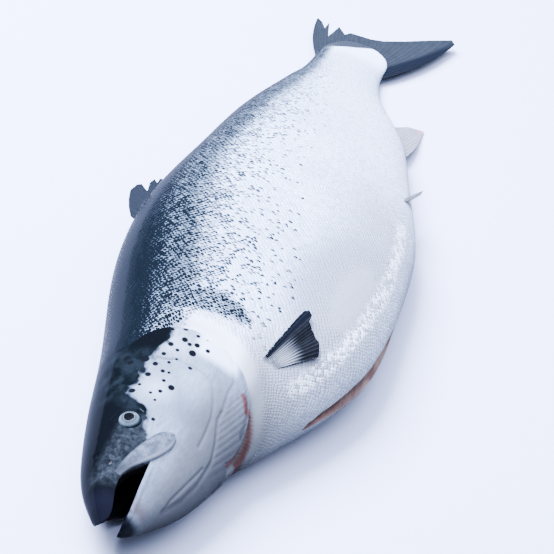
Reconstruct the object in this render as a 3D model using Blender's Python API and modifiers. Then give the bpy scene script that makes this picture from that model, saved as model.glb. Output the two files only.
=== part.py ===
"""A whole gutted salmon lying on its right side, head towards -X, back towards +Y."""

import bmesh
import bpy
import numpy as np

# Driving sizes. Lengths below are fractions of the fork length, from the snout to the tail's fork.
FORK_LENGTH = 0.75
TILT = 0.139  # radians that the back is raised, because the gutted belly sags
PRESS = 0.006  # how deep the resting flank is squeezed flat
SOFTNESS = 0.004  # how gradually it flattens
FLOOR_CUT = 0.0016  # height at which the flat resting face is taken
HEAD_HEIGHT = 0.045  # of the snout's middle above the floor
TAIL_HEIGHT = 0.012  # of the tail fin's middle above the floor

# Distance from the snout, back above the axis, belly below it, half width
STATIONS = (
    (0.000, 0.0107, 0.0181, 0.0104),
    (0.030, 0.0286, 0.0383, 0.0241),
    (0.080, 0.0458, 0.0596, 0.0396),
    (0.140, 0.0594, 0.0775, 0.0500),
    (0.200, 0.0706, 0.1055, 0.0568),
    (0.300, 0.0950, 0.1479, 0.0611),
    (0.420, 0.1040, 0.1548, 0.0602),
    (0.540, 0.0909, 0.1479, 0.0551),
    (0.660, 0.0784, 0.1189, 0.0447),
    (0.780, 0.0589, 0.0859, 0.0301),
    (0.900, 0.0420, 0.0374, 0.0146),
    (0.955, 0.0386, 0.0405, 0.0060),
)
SNOUT_TIP, SNOUT_END = -0.010, 0.008  # the nose is rounded between these
ROOT_START, ROOT_TIP = 0.925, 0.974  # so is the tail's fleshy root
AXIS_RISE = 0.10  # widest line above the axis, as a share of the back's height
BACK_POWER, BELLY_POWER = 0.90, 0.98  # 1 is an ellipse, less is blunter

# Gill covers: discs on both cheeks with a free rear rim
COVER_X, COVER_Y, COVER_RADIUS = 0.142, -0.006, 0.0635
COVER_THICK = 0.0035
COVER_FREE = 0.020  # width of the loose rim
TRUNK_RECESS = 0.0068  # of the shoulder under the covers
NAPE_RECESS = 0.0006  # where neck and throat carry on from the head with no slit
TRUNK_BLEND = 0.016
THROAT_FREE, THROAT_BLEND = 0.004, 0.010  # half width of the throat between the covers

# Mouth: heights of the upper and the lower rim at these distances from the snout
MOUTH_X = (-0.020, 0.000, 0.012, 0.024, 0.036, 0.048, 0.057)
MOUTH_UPPER = (0.0035, 0.0070, 0.0100, 0.0090, 0.0030, -0.0040, -0.0086)
MOUTH_LOWER = (-0.0115, -0.0115, -0.0120, -0.0110, -0.0101, -0.0096, -0.0092)
THROAT_CENTRE = (0.060, -0.003, 0.0)
THROAT_RADII = (0.045, 0.012, 0.022)
PLATE_WIDTH, PLATE_THICK = 0.0085, 0.0044  # of the jaw plate behind the mouth
PLATE_RAISE, PLATE_SUNK = 0.0022, 0.0014

# Belly cut, from behind the throat to the vent
CUT_START, CUT_END = 0.214, 0.700
CUT_DEPTH = 0.055
CUT_GAPE = (
    (0.214, 0.0010),
    (0.235, 0.0080),
    (0.280, 0.0125),
    (0.335, 0.0150),
    (0.380, 0.0120),
    (0.420, 0.0050),
    (0.480, 0.0030),
    (0.700, 0.0010),
)
CUT_SIDE = -0.0030  # where the lower flap's rim lies beside the mid plane

EYE_X, EYE_Y, EYE_RADIUS, EYE_SUNK = 0.087, 0.0210, 0.0105, 0.0053
GAP = 0.0003  # metres round the eyeballs

FIN_THICK = 0.0030
PELVIC_TIP = 0.0210  # beside the mid plane
HEAD_RINGS, TRUNK_RINGS, RING_POINTS = 27, 42, 32


def natural_spline(xs, ys):
    """Smooth curve through the points, straight beyond both ends."""
    xs, ys = np.asarray(xs, float), np.asarray(ys, float)
    steps = np.diff(xs)
    count = len(xs)
    rows, right = np.eye(count), np.zeros(count)
    for i in range(1, count - 1):
        rows[i, i - 1 : i + 2] = steps[i - 1], 2 * (steps[i - 1] + steps[i]), steps[i]
        slopes = np.diff(ys[i - 1 : i + 2]) / steps[i - 1 : i + 1]
        right[i] = 6 * (slopes[1] - slopes[0])
    bend = np.linalg.solve(rows, right)

    def curve(x):
        x = np.asarray(x, float)
        k = np.clip(np.searchsorted(xs, x) - 1, 0, count - 2)
        before, after = x - xs[k], xs[k + 1] - x
        cubic = (bend[k] * after**3 + bend[k + 1] * before**3) / (6 * steps[k])
        first = (ys[k] / steps[k] - bend[k] * steps[k] / 6) * after
        return cubic + first + (ys[k + 1] / steps[k] - bend[k + 1] * steps[k] / 6) * before

    return curve


def smooth_step(t):
    t = np.clip(t, 0, 1)
    return t * t * (3 - 2 * t)


station_x, *station_sizes = zip(*STATIONS)
back_at, belly_at, half_at = (natural_spline(station_x, sizes) for sizes in station_sizes)


def end_rounding(x):
    """1 along the fish, falling to 0 at the nose and at the end of the tail's root."""
    nose = np.clip((SNOUT_END - x) / (SNOUT_END - SNOUT_TIP), 0, 1)
    root = np.clip((x - ROOT_START) / (ROOT_TIP - ROOT_START), 0, 1)
    return np.sqrt(1 - nose**2) * np.sqrt(1 - root**2)


def section_at(x, inset=0.0):
    """Back, belly and half width of the cross-section at x, all less by the inset."""
    x = np.asarray(x, float)
    inner = np.clip(x, SNOUT_TIP, station_x[-1])
    shrink = end_rounding(x)
    sizes = (size(inner) * shrink - inset for size in (back_at, belly_at, half_at))
    return (np.maximum(size, 1e-4) for size in sizes)


def skin_point(x, angle, inset=0.0):
    """Point of the skin; angle 0 is the back's ridge, a quarter turn the left flank."""
    back, belly, half = section_at(x, inset)
    middle = AXIS_RISE * back
    cosine, sine = np.cos(angle), np.sin(angle)
    above = cosine >= 0
    power = np.where(above, BACK_POWER, BELLY_POWER)
    reach = np.where(above, back - middle, -(belly + middle))
    y = middle + reach * np.abs(cosine) ** power
    z = half * np.sign(sine) * np.abs(sine) ** power
    return np.stack(np.broadcast_arrays(x, y, z), -1)


def flank_height(x, y):
    """Half width of the skin at the height y over the axis."""
    back, belly, half = section_at(x)
    middle = AXIS_RISE * back
    above = y >= middle
    power = np.where(above, BACK_POWER, BELLY_POWER)
    share = np.where(above, (y - middle) / (back - middle), (middle - y) / (belly + middle))
    share = np.clip(share, 0, 0.9995)
    return half * (1 - share ** (2 / power)) ** (power / 2)


def flank_point(x, y, side, raised=0.0):
    """Point over the left (side 1) or right (side -1) flank, raised along the normal."""
    step = 0.0015
    z = flank_height(x, y)
    slope_x = (flank_height(x + step, y) - flank_height(x - step, y)) / (2 * step)
    slope_y = (flank_height(x, y + step) - flank_height(x, y - step)) / (2 * step)
    length = np.sqrt(1 + slope_x**2 + slope_y**2)
    moved = (x - raised * slope_x / length, y - raised * slope_y / length)
    return np.stack(np.broadcast_arrays(*moved, side * (z + raised / length)), -1)


def tilt_at(x):
    return TILT * (1 - smooth_step((x - 0.82) / 0.14))


def lift_curve():
    """Height of the axis over the floor, so that the lowest skin is pressed by PRESS."""
    xs = np.linspace(-0.02, 1.1, 113)
    rim = skin_point(np.clip(xs, 0, 0.955)[:, None], np.linspace(0, 2 * np.pi, 97)[None])
    lean = tilt_at(xs)[:, None]
    lowest = (np.sin(lean) * rim[..., 1] + np.cos(lean) * rim[..., 2]).min(1)
    to_tail = smooth_step((xs - 0.80) / 0.12)
    to_head = smooth_step((0.30 - xs) / 0.30)
    trunk = (-lowest - PRESS) * (1 - to_tail) + TAIL_HEIGHT * to_tail
    return xs, trunk * (1 - to_head) + HEAD_HEIGHT * to_head


lift_x, lift_z = lift_curve()


def lay_down(points):
    """From the straight fish's own axes to the fish as it lies, in metres."""
    x, y, z = np.moveaxis(np.asarray(points, float), -1, 0)
    lean = tilt_at(x)
    across = np.cos(lean) * y - np.sin(lean) * z
    up = np.sin(lean) * y + np.cos(lean) * z + np.interp(x, lift_x, lift_z)
    up = (up + np.sqrt(up**2 + SOFTNESS**2)) / 2 - FLOOR_CUT
    return np.stack([x, across, up], -1) * FORK_LENGTH


# Meshes


parts = bpy.data.collections.new("whole_salmon")
cutters = bpy.data.collections.new("cutters")


def clear_scene():
    for thing in list(bpy.data.objects):
        bpy.data.objects.remove(thing)
    for collection in (parts, cutters):
        bpy.context.scene.collection.children.link(collection)


def skin_material(name, colour, roughness, metallic):
    material = bpy.data.materials.new(name)
    material.use_nodes = True
    shader = material.node_tree.nodes["Principled BSDF"]
    shader.inputs["Base Color"].default_value = (*colour, 1)
    shader.inputs["Roughness"].default_value = roughness
    shader.inputs["Metallic"].default_value = metallic
    return material


def add_object(name, mesh, collection):
    thing = bpy.data.objects.new(name, mesh)
    collection.objects.link(thing)
    if collection is cutters:
        thing.hide_render = True
        thing.display_type = "WIRE"
    return thing


def loft(name, rings, collection=cutters):
    """Closed solid through rings of points, with a fan over each end."""
    form = bmesh.new()
    rows = [[form.verts.new(point) for point in ring] for ring in rings]
    count = len(rows[0])
    for one, two in zip(rows, rows[1:]):
        for i in range(count):
            j = (i + 1) % count
            form.faces.new((one[i], one[j], two[j], two[i]))
    for ring in (rows[0], rows[-1]):
        hub = form.verts.new(np.mean([corner.co for corner in ring], axis=0))
        for i in range(count):
            form.faces.new((ring[i], ring[(i + 1) % count], hub))
    bmesh.ops.recalc_face_normals(form, faces=form.faces)
    mesh = bpy.data.meshes.new(name)
    form.to_mesh(mesh)
    form.free()
    return add_object(name, mesh, collection)


def sheet(name, grid, thickness):
    """Thin solid about a grid of points, by Solidify."""
    form = bmesh.new()
    rows = [[form.verts.new(point) for point in line] for line in grid]
    for one, two in zip(rows, rows[1:]):
        for i in range(len(one) - 1):
            form.faces.new((one[i], one[i + 1], two[i + 1], two[i]))
    mesh = bpy.data.meshes.new(name)
    form.to_mesh(mesh)
    form.free()
    thing = add_object(name, mesh, cutters)
    shell = thing.modifiers.new("Thickness", "SOLIDIFY")
    shell.thickness = thickness * FORK_LENGTH
    shell.offset = 0
    shell.use_even_offset = True
    apply_modifiers(thing)
    return thing


def apply_modifiers(thing):
    graph = bpy.context.evaluated_depsgraph_get()
    graph.update()
    mesh = bpy.data.meshes.new_from_object(thing.evaluated_get(graph))
    thing.modifiers.clear()
    thing.data = mesh


def cut_or_join(thing, other, operation):
    """Applies one Boolean, and removes the other object."""
    step = thing.modifiers.new(operation.title(), "BOOLEAN")
    step.operation = operation
    step.solver = "MANIFOLD"  # thin slits and pressed fins are too close for EXACT
    step.object = other
    apply_modifiers(thing)
    bpy.data.objects.remove(other)


def outline_prism(name, corners, low, high):
    """Upright solid in the fish's own axes over an outline in x and y, then laid down."""
    levels = np.linspace(low, high, 9)
    rings = [[(x, y, level) for x, y in corners] for level in levels]
    return loft(name, [lay_down(ring) for ring in rings])


def arc(centre, radius, start, end, count):
    """Points of a circle between two angles in degrees."""
    angles = np.radians(np.linspace(start, end, count))
    x = centre[0] + radius * np.cos(angles)
    y = centre[1] + radius * np.sin(angles)
    return list(zip(x, y))


# The fish's body


def head_solid():
    stations = SNOUT_TIP + (0.212 - SNOUT_TIP) * np.linspace(0.02, 1, HEAD_RINGS) ** 1.15
    angles = np.linspace(0, 2 * np.pi, RING_POINTS + 6)[:-1]
    head = loft("head", lay_down(skin_point(stations[:, None], angles[None])))
    rim = arc((COVER_X, COVER_Y), COVER_RADIUS, -115, 90, 28)
    front = [(COVER_X, 0.12), (-0.05, 0.12), (-0.05, -0.16), (rim[0][0], -0.16)]
    cut_or_join(head, outline_prism("cover_outline", rim + front, -0.09, 0.09), "INTERSECT")
    cut_or_join(head, gill_gap(), "DIFFERENCE")
    return head


def gill_gap():
    """The slit under the covers' free rims, reaching up to just below the eye's level."""
    stations = np.linspace(0.095, 0.225, 14)
    angles = np.linspace(0, 2 * np.pi, RING_POINTS + 1)[:-1]
    gap = loft("gill_gap", lay_down(skin_point(stations[:, None], angles[None], COVER_THICK)))
    inner = COVER_RADIUS - COVER_FREE
    rim = arc((COVER_X, COVER_Y), inner, -140, 28, 18)
    outer = arc((COVER_X, COVER_Y), COVER_RADIUS + 0.03, 28, -140, 18)
    cut_or_join(gap, outline_prism("gap_outline", rim + outer, -0.08, 0.08), "INTERSECT")
    return gap


def trunk_solid():
    stations = 0.10 + (ROOT_TIP - 0.0006 - 0.10) * np.linspace(0, 1, TRUNK_RINGS)
    angles = np.linspace(0, 2 * np.pi, RING_POINTS + 1)[:-1]
    x, angle = stations[:, None], angles[None]
    skin = skin_point(x, angle)
    beyond = np.hypot(skin[..., 0] - COVER_X, skin[..., 1] - COVER_Y) - COVER_RADIUS
    beyond = np.where(skin[..., 0] < COVER_X, np.minimum(beyond, 0), beyond)
    cheek = smooth_step((0.040 - skin[..., 1]) / 0.020)
    cheek = cheek * smooth_step((np.abs(skin[..., 2]) - THROAT_FREE) / THROAT_BLEND)
    deepest = NAPE_RECESS + (TRUNK_RECESS - NAPE_RECESS) * cheek
    inset = deepest * (1 - smooth_step(beyond / TRUNK_BLEND))
    return loft("trunk", lay_down(skin_point(x, angle, inset)))


def mouth_solid():
    """The gape between the jaws, arched under the snout."""
    xs = np.linspace(MOUTH_X[0], MOUTH_X[-1], 15)
    upper = natural_spline(MOUTH_X, MOUTH_UPPER)(xs)
    lower = natural_spline(MOUTH_X, MOUTH_LOWER)(xs)
    rings = []
    for x, top, base in zip(xs, upper, lower):
        across = np.linspace(-0.045, 0.045, 9)
        rings.append([(x, top, z) for z in across] + [(x, base, z) for z in across[::-1]])
    return loft("mouth", [lay_down(ring) for ring in rings])


def throat_solid():
    form = bmesh.new()
    bmesh.ops.create_uvsphere(form, u_segments=16, v_segments=10, radius=1)
    for corner in form.verts:
        local = np.array(corner.co) * THROAT_RADII + THROAT_CENTRE
        corner.co = lay_down(local)
    mesh = bpy.data.meshes.new("throat")
    form.to_mesh(mesh)
    form.free()
    return add_object("throat", mesh, cutters)


def belly_cut():
    """Narrow wedge up from the keel; the left flap ends a little short of the right one."""
    gape_x, gape = zip(*CUT_GAPE)
    rings = []
    for x in np.linspace(CUT_START, CUT_END, 34):
        along = (x - CUT_START) / (CUT_END - CUT_START)
        deep = CUT_DEPTH * np.clip(9 * along, 0.12, 1) * np.clip(9 * (1 - along), 0.12, 1)
        keel = -belly_at(x)
        apex = np.array((x, keel + deep, 0.0008))
        edge = np.array((x, keel + 0.004, np.interp(x, gape_x, gape)))
        rim = np.array((x, keel, CUT_SIDE * min(1, 12 * along, 12 * (1 - along) + 0.1)))
        past = apex + (edge - apex) * (deep + 0.02) / (deep - 0.004)
        below = apex + (rim - apex) * (deep + 0.02) / deep
        rings.append([apex, apex + (past - apex) / 2, past, below, apex + (below - apex) / 2])
    return loft("belly_cut", [lay_down(ring) for ring in rings])


# Fins and plates, as sheets that the body takes in


def fanned_fin(name, roots, tips, bow, rays, steps, thickness, sway):
    """Median fin: rays from a root line to a ragged tip line, bowed outwards at its edges."""
    grid = []
    for t in np.linspace(0, 1, rays):
        root, tip = roots(t), tips(t)
        normal = np.array((-(tip - root)[1], (tip - root)[0]))
        line = []
        for s in np.linspace(0, 1, steps):
            spot = root + (tip - root) * s + normal * bow(t) * s * (1 - s)
            line.append((spot[0], spot[1], sway(t, s)))
        grid.append(line)
    return sheet(name, lay_down(grid), thickness)


def along_points(points):
    """Point at the share t of the list's parameter, t being each row's first number."""
    share, x, y = zip(*points)
    return lambda t: np.array((np.interp(t, share, x), np.interp(t, share, y)))


def tail_fin():
    roots = along_points((
        (0.00, 0.900, 0.0340), (0.30, 0.935, 0.0220), (0.60, 0.945, -0.0140), (1.00, 0.905, -0.0300),
    ))
    tips = along_points((
        (0.00, 1.003, 0.0600), (0.10, 0.996, 0.0530), (0.15, 0.984, 0.0470), (0.19, 1.001, 0.0455),
        (0.23, 0.966, 0.0390), (0.30, 0.998, 0.0330), (0.38, 0.984, 0.0230), (0.42, 0.992, 0.0180),
        (0.55, 0.993, -0.0060), (0.65, 0.998, -0.0200), (0.75, 1.014, -0.0420), (0.88, 1.036, -0.0680),
        (0.97, 1.054, -0.0910), (1.00, 1.046, -0.0960),
    ))
    bow = lambda t: 0.22 * (0.5 - t) * 2
    return fanned_fin("tail_fin", roots, tips, bow, 33, 6, FIN_THICK, lambda t, s: 0.0)


def dorsal_fin():
    """Folded back and torn: a long front lobe and a short ragged one behind it."""
    roots = along_points(((0, 0.388, 0.096), (1, 0.470, 0.089)))
    tips = along_points((
        (0.00, 0.392, 0.1090), (0.10, 0.405, 0.1150), (0.20, 0.417, 0.1190), (0.32, 0.432, 0.1222),
        (0.42, 0.446, 0.1200), (0.48, 0.451, 0.1165), (0.54, 0.442, 0.1080), (0.66, 0.459, 0.1105),
        (0.76, 0.469, 0.1088), (0.82, 0.465, 0.1045), (0.92, 0.474, 0.1045), (1.00, 0.477, 0.0990),
    ))
    return fanned_fin("dorsal_fin", roots, tips, lambda t: 0.0, 29, 4, FIN_THICK, lambda t, s: 0.0)


def anal_fin():
    roots = along_points(((0, 0.728, -0.091), (1, 0.808, -0.066)))
    tips = along_points((
        (0.0, 0.800, -0.1035), (0.25, 0.843, -0.1035), (0.4, 0.842, -0.0985), (1, 0.838, -0.0860),
    ))
    bow = lambda t: -0.10 * (1 - t)
    return fanned_fin("anal_fin", roots, tips, bow, 17, 6, FIN_THICK, lambda t, s: 0.0)


def adipose_fin():
    """Small fleshy lobe, flopped over to the right."""
    roots = along_points(((0, 0.790, 0.050), (1, 0.806, 0.047)))
    tips = along_points(((0, 0.803, 0.0575), (0.5, 0.818, 0.0570), (1, 0.820, 0.0510)))
    lean = lambda t, s: -0.016 * s
    return fanned_fin("adipose_fin", roots, tips, lambda t: 0.0, 9, 5, 1.3 * FIN_THICK, lean)


def flank_sheet(name, side, roots, tips, rays, steps, raise_by, thickness):
    """Fin or plate that lies along a flank, raised above the skin towards its tips."""
    grid = []
    for t in np.linspace(0, 1, rays):
        root, tip = roots(t), tips(t)
        spots = [root + (tip - root) * s for s in np.linspace(0, 1, steps)]
        shares = np.linspace(0, 1, steps)
        grid.append([flank_point(*spot, side, raise_by(s)) for spot, s in zip(spots, shares)])
    return sheet(name, lay_down(grid), thickness)


def pectoral_fin(side):
    roots = along_points(((0, 0.214, -0.0560), (1, 0.216, -0.0690)))
    tips = along_points((
        (0.00, 0.290, -0.0705), (0.08, 0.2945, -0.0745), (0.14, 0.291, -0.0785), (0.20, 0.282, -0.0780),
        (0.40, 0.277, -0.0835), (0.65, 0.272, -0.0895), (0.85, 0.265, -0.0950), (1.00, 0.257, -0.0975),
    ))
    rise = lambda s: -0.0015 + 0.0055 * s
    return flank_sheet(f"pectoral_{side}", side, roots, tips, 21, 7, rise, 0.8 * FIN_THICK)


def pelvic_fin(side):
    """Folded into a spike that stands off the belly and runs past the keel."""
    roots = along_points(((0, 0.588, -0.1090), (1, 0.604, -0.1180)))
    tips = along_points(((0, 0.647, -0.1262), (0.5, 0.6515, -0.1280), (1, 0.640, -0.1272)))
    inner = flank_height(0.596, -0.1140) - 0.0015
    place = lambda t, s: side * (inner + (PELVIC_TIP - inner) * s)
    return fanned_fin(f"pelvic_{side}", roots, tips, lambda t: 0.0, 9, 6, 0.8 * FIN_THICK, place)


def jaw_plate(side):
    """The raised plate that runs back and down from the snout past the mouth's corner."""
    middle = along_points((
        (0, 0.034, 0.0100), (0.3, 0.050, 0.0040), (0.6, 0.067, -0.0050), (0.85, 0.082, -0.0120),
        (1, 0.091, -0.0165),
    ))
    grid = []
    for t in np.linspace(0, 1, 15):
        spot = middle(t)
        heading = middle(min(1, t + 0.02)) - middle(max(0, t - 0.02))
        normal = np.array((-heading[1], heading[0])) / np.hypot(*heading)
        rounding = np.sqrt(1.001 - max(0, (t - 0.75) / 0.25) ** 2)
        half = PLATE_WIDTH * (0.10 + 0.90 * smooth_step((t + 0.1) / 0.8)) * rounding
        spots = [spot + normal * half * s for s in np.linspace(-1, 1, 6)]
        lift = PLATE_RAISE * smooth_step((t + 0.05) / 0.3) - PLATE_SUNK
        raised = [lift * (1 - 0.7 * s**2) for s in np.linspace(-1, 1, 6)]
        grid.append([flank_point(*one, side, up) for one, up in zip(spots, raised)])
    return sheet(f"jaw_plate_{side}", lay_down(grid), PLATE_THICK)


def eye_place(side):
    """Centre of the eyeball in the fish's own axes."""
    return flank_point(EYE_X, EYE_Y, side, -EYE_SUNK)


def ball(name, centre, radius, collection):
    form = bmesh.new()
    bmesh.ops.create_uvsphere(form, u_segments=18, v_segments=12, radius=radius)
    mesh = bpy.data.meshes.new(name)
    form.to_mesh(mesh)
    form.free()
    mesh.shade_smooth()
    thing = add_object(name, mesh, collection)
    thing.location = lay_down(centre)
    return thing


def floor_block():
    """Everything below the floor, to leave a flat resting face."""
    form = bmesh.new()
    bmesh.ops.create_cube(form, size=1)
    bmesh.ops.scale(form, vec=(1.6, 1.0, 0.1), verts=form.verts)
    bmesh.ops.translate(form, vec=(0.4, 0, -0.05), verts=form.verts)
    mesh = bpy.data.meshes.new("floor_block")
    form.to_mesh(mesh)
    form.free()
    return add_object("floor_block", mesh, cutters)


def build_body():
    body = head_solid()
    cut_or_join(body, trunk_solid(), "UNION")
    fins = [tail_fin(), dorsal_fin(), anal_fin(), adipose_fin()]
    for side in (1, -1):
        fins += [pectoral_fin(side), pelvic_fin(side), jaw_plate(side)]
    for fin in fins:
        cut_or_join(body, fin, "UNION")
    for cutter in (mouth_solid(), throat_solid(), belly_cut()):
        cut_or_join(body, cutter, "DIFFERENCE")
    for side in (1, -1):
        socket = ball("socket", eye_place(side), EYE_RADIUS * FORK_LENGTH + GAP, cutters)
        cut_or_join(body, socket, "DIFFERENCE")
    cut_or_join(body, floor_block(), "DIFFERENCE")
    cutters.objects.unlink(body)
    parts.objects.link(body)
    body.name = "salmon"
    body.hide_render = False
    body.display_type = "TEXTURED"
    body.data.shade_smooth()
    body.data.set_sharp_from_angle(angle=0.7)
    body.data.materials.clear()
    body.data.materials.append(skin_material("silver_skin", (0.62, 0.68, 0.74), 0.28, 0.35))
    return body


def build_eyes():
    glassy = skin_material("eye", (0.05, 0.08, 0.09), 0.08, 0.0)
    for name, side in (("eye_left", 1), ("eye_right", -1)):
        eye = ball(name, eye_place(side), EYE_RADIUS * FORK_LENGTH, parts)
        eye.data.materials.append(glassy)


def centre_on_origin(body):
    """Moves everything so that the origin is under the middle of the fish's outline."""
    spots = np.array([corner.co for corner in body.data.vertices])
    shift = -(spots.min(0) + spots.max(0)) / 2
    for thing in parts.objects:
        thing.location.x += shift[0]
        thing.location.y += shift[1]
    print("origin moved by", np.round(shift, 5))


clear_scene()
salmon = build_body()
build_eyes()
centre_on_origin(salmon)
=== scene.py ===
import math

import bmesh
import bpy
import numpy as np
from mathutils import Matrix, Vector


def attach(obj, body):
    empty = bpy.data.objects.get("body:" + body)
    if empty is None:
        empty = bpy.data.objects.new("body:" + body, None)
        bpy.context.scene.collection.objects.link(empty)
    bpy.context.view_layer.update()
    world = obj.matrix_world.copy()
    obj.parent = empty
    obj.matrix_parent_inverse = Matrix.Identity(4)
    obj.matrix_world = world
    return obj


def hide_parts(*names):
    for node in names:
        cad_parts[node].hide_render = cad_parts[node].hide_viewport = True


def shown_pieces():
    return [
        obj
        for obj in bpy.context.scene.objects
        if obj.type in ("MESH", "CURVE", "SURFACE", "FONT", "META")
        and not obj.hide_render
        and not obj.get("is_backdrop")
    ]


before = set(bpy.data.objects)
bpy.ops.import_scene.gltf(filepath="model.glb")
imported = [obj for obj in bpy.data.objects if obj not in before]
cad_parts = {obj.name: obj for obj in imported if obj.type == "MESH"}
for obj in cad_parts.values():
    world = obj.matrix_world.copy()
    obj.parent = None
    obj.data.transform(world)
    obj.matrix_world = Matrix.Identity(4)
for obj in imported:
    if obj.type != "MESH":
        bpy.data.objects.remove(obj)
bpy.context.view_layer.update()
print("frame loaded:", ", ".join(sorted(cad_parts)))

# The salmon's form. Lengths are shares of the fork length, from the snout to the tail's fork
forkLength = 0.75
originShift = (-0.39365, 0.01193)  # metres, from the snout to the middle of the outline
form = {
    "tilt": 0.139,  # the back is raised, because the gutted belly sags
    "press": 0.006,  # the resting flank is squeezed flat
    "softness": 0.004,
    "floorCut": 0.0016,
    "headHeight": 0.045,
    "tailHeight": 0.012,
    "snoutTip": -0.01,
    "snoutEnd": 0.008,
    "rootStart": 0.925,
    "rootTip": 0.974,
    "axisRise": 0.1,
    "backPower": 0.9,
    "bellyPower": 0.98,
}


def milli(*numbers, columns=2):  # points given in thousandths
    return np.round(np.reshape(numbers, (-1, columns)) / 1000, 7)


# distance from the snout, back above the axis, belly below it, half width
stations = milli(
    0, 10.7, 18.1, 10.4, 30, 28.6, 38.3, 24.1, 80, 45.8, 59.6, 39.6, 140, 59.4, 77.5, 50, 200, 70.6, 105.5, 56.8,
    300, 95, 147.9, 61.1, 420, 104, 154.8, 60.2, 540, 90.9, 147.9, 55.1, 660, 78.4, 118.9, 44.7,
    780, 58.9, 85.9, 30.1, 900, 42, 37.4, 14.6, 955, 38.6, 40.5, 6, columns=4,
)


def naturalSpline(xs, ys):
    xs, ys = np.asarray(xs, float), np.asarray(ys, float)
    steps = np.diff(xs)
    count = len(xs)
    rows, right = np.eye(count), np.zeros(count)
    for i in range(1, count - 1):
        rows[i, i - 1 : i + 2] = steps[i - 1], 2 * (steps[i - 1] + steps[i]), steps[i]
        slopes = np.diff(ys[i - 1 : i + 2]) / steps[i - 1 : i + 1]
        right[i] = 6 * (slopes[1] - slopes[0])
    bend = np.linalg.solve(rows, right)

    def curve(x):
        x = np.asarray(x, float)
        k = np.clip(np.searchsorted(xs, x) - 1, 0, count - 2)
        before, after = x - xs[k], xs[k + 1] - x
        cubic = (bend[k] * after**3 + bend[k + 1] * before**3) / (6 * steps[k])
        first = (ys[k] / steps[k] - bend[k] * steps[k] / 6) * after
        return cubic + first + (ys[k + 1] / steps[k] - bend[k + 1] * steps[k] / 6) * before

    return curve


def smoothStep(t):
    t = np.clip(t, 0, 1)
    return t * t * (3 - 2 * t)


def above(value, start, width):  # 0 up to start, 1 beyond start + width
    return smoothStep((value - start) / width)


def under(value, start, width):  # 0 from start on, 1 below start - width
    return smoothStep((start - value) / width)


def ridgeAt(distance, width):
    return np.exp(-((distance / width) ** 2))


stationX, *stationSizes = zip(*stations)
backAt, bellyAt, halfAt = (naturalSpline(stationX, sizes) for sizes in stationSizes)


def sectionAt(x, inset=0.0):
    x = np.asarray(x, float)
    inner = np.clip(x, form["snoutTip"], stationX[-1])
    noseLength = form["snoutEnd"] - form["snoutTip"]
    rootLength = form["rootTip"] - form["rootStart"]
    nose = np.clip((form["snoutEnd"] - x) / noseLength, 0, 1)
    root = np.clip((x - form["rootStart"]) / rootLength, 0, 1)
    shrink = np.sqrt(1 - nose**2) * np.sqrt(1 - root**2)
    return [np.maximum(size(inner) * shrink - inset, 1e-4) for size in (backAt, bellyAt, halfAt)]


def skinPoint(x, angle, inset=0.0):  # angle 0 is the back's ridge, a quarter turn the left flank
    back, belly, half = sectionAt(x, inset)
    middle = form["axisRise"] * back
    cosine, sine = np.cos(angle), np.sin(angle)
    power = np.where(cosine >= 0, form["backPower"], form["bellyPower"])
    reach = np.where(cosine >= 0, back - middle, -(belly + middle))
    y = middle + reach * np.abs(cosine) ** power
    z = half * np.sign(sine) * np.abs(sine) ** power
    return np.stack(np.broadcast_arrays(x, y, z), -1)


def sectionShape(x, y):  # the middle's height, and the power, reach and half width of y's part of the section
    back, belly, half = sectionAt(x)
    middle = form["axisRise"] * back
    power = np.where(y >= middle, form["backPower"], form["bellyPower"])
    return middle, power, np.where(y >= middle, back - middle, belly + middle), half


def flankHeight(x, y):
    middle, power, reach, half = sectionShape(x, y)
    share = np.clip(np.abs(y - middle) / reach, 0, 0.9995)
    return half * (1 - share ** (2 / power)) ** (power / 2)


def flankPoint(x, y, side, raised=0.0):  # side 1 is the left flank, which faces up
    step = 0.0015
    z = flankHeight(x, y)
    slopeX = (flankHeight(x + step, y) - flankHeight(x - step, y)) / (2 * step)
    slopeY = (flankHeight(x, y + step) - flankHeight(x, y - step)) / (2 * step)
    length = np.sqrt(1 + slopeX**2 + slopeY**2)
    moved = (x - raised * slopeX / length, y - raised * slopeY / length)
    return np.stack(np.broadcast_arrays(*moved, side * (z + raised / length)), -1)


def tiltAt(x):
    return form["tilt"] * (1 - above(x, 0.82, 0.14))


def liftCurve():
    xs = np.linspace(-0.02, 1.1, 113)
    rim = skinPoint(np.clip(xs, 0, 0.955)[:, None], np.linspace(0, 2 * np.pi, 97)[None])
    lean = tiltAt(xs)[:, None]
    lowest = (np.sin(lean) * rim[..., 1] + np.cos(lean) * rim[..., 2]).min(1)
    toTail = above(xs, 0.8, 0.12)
    toHead = under(xs, 0.3, 0.3)
    trunk = (-lowest - form["press"]) * (1 - toTail) + form["tailHeight"] * toTail
    return xs, trunk * (1 - toHead) + form["headHeight"] * toHead


liftX, liftZ = liftCurve()


def layDown(points, flat=True):  # the straight salmon's own axes to metres as it lies
    x, y, z = np.moveaxis(np.asarray(points, float), -1, 0)
    lean = tiltAt(x)
    across = np.cos(lean) * y - np.sin(lean) * z
    up = np.sin(lean) * y + np.cos(lean) * z + np.interp(x, liftX, liftZ)
    up = (up + np.sqrt(up**2 + form["softness"] ** 2)) / 2 - form["floorCut"]
    placed = np.stack([x, across, np.maximum(up, 0) if flat else up], -1) * forkLength
    placed[..., :2] += originShift
    return placed


def fishPlace(points):  # the way back from metres to the straight salmon's own axes
    points = np.array(points, float)
    points[..., :2] -= originShift
    x, across, up = np.moveaxis(points / forkLength, -1, 0)
    up = np.maximum(up + form["floorCut"], 1e-4)
    up = up - form["softness"] ** 2 / (4 * up) - np.interp(x, liftX, liftZ)
    lean = tiltAt(x)
    return np.stack([x, np.cos(lean) * across + np.sin(lean) * up, np.cos(lean) * up - np.sin(lean) * across], -1)


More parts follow.
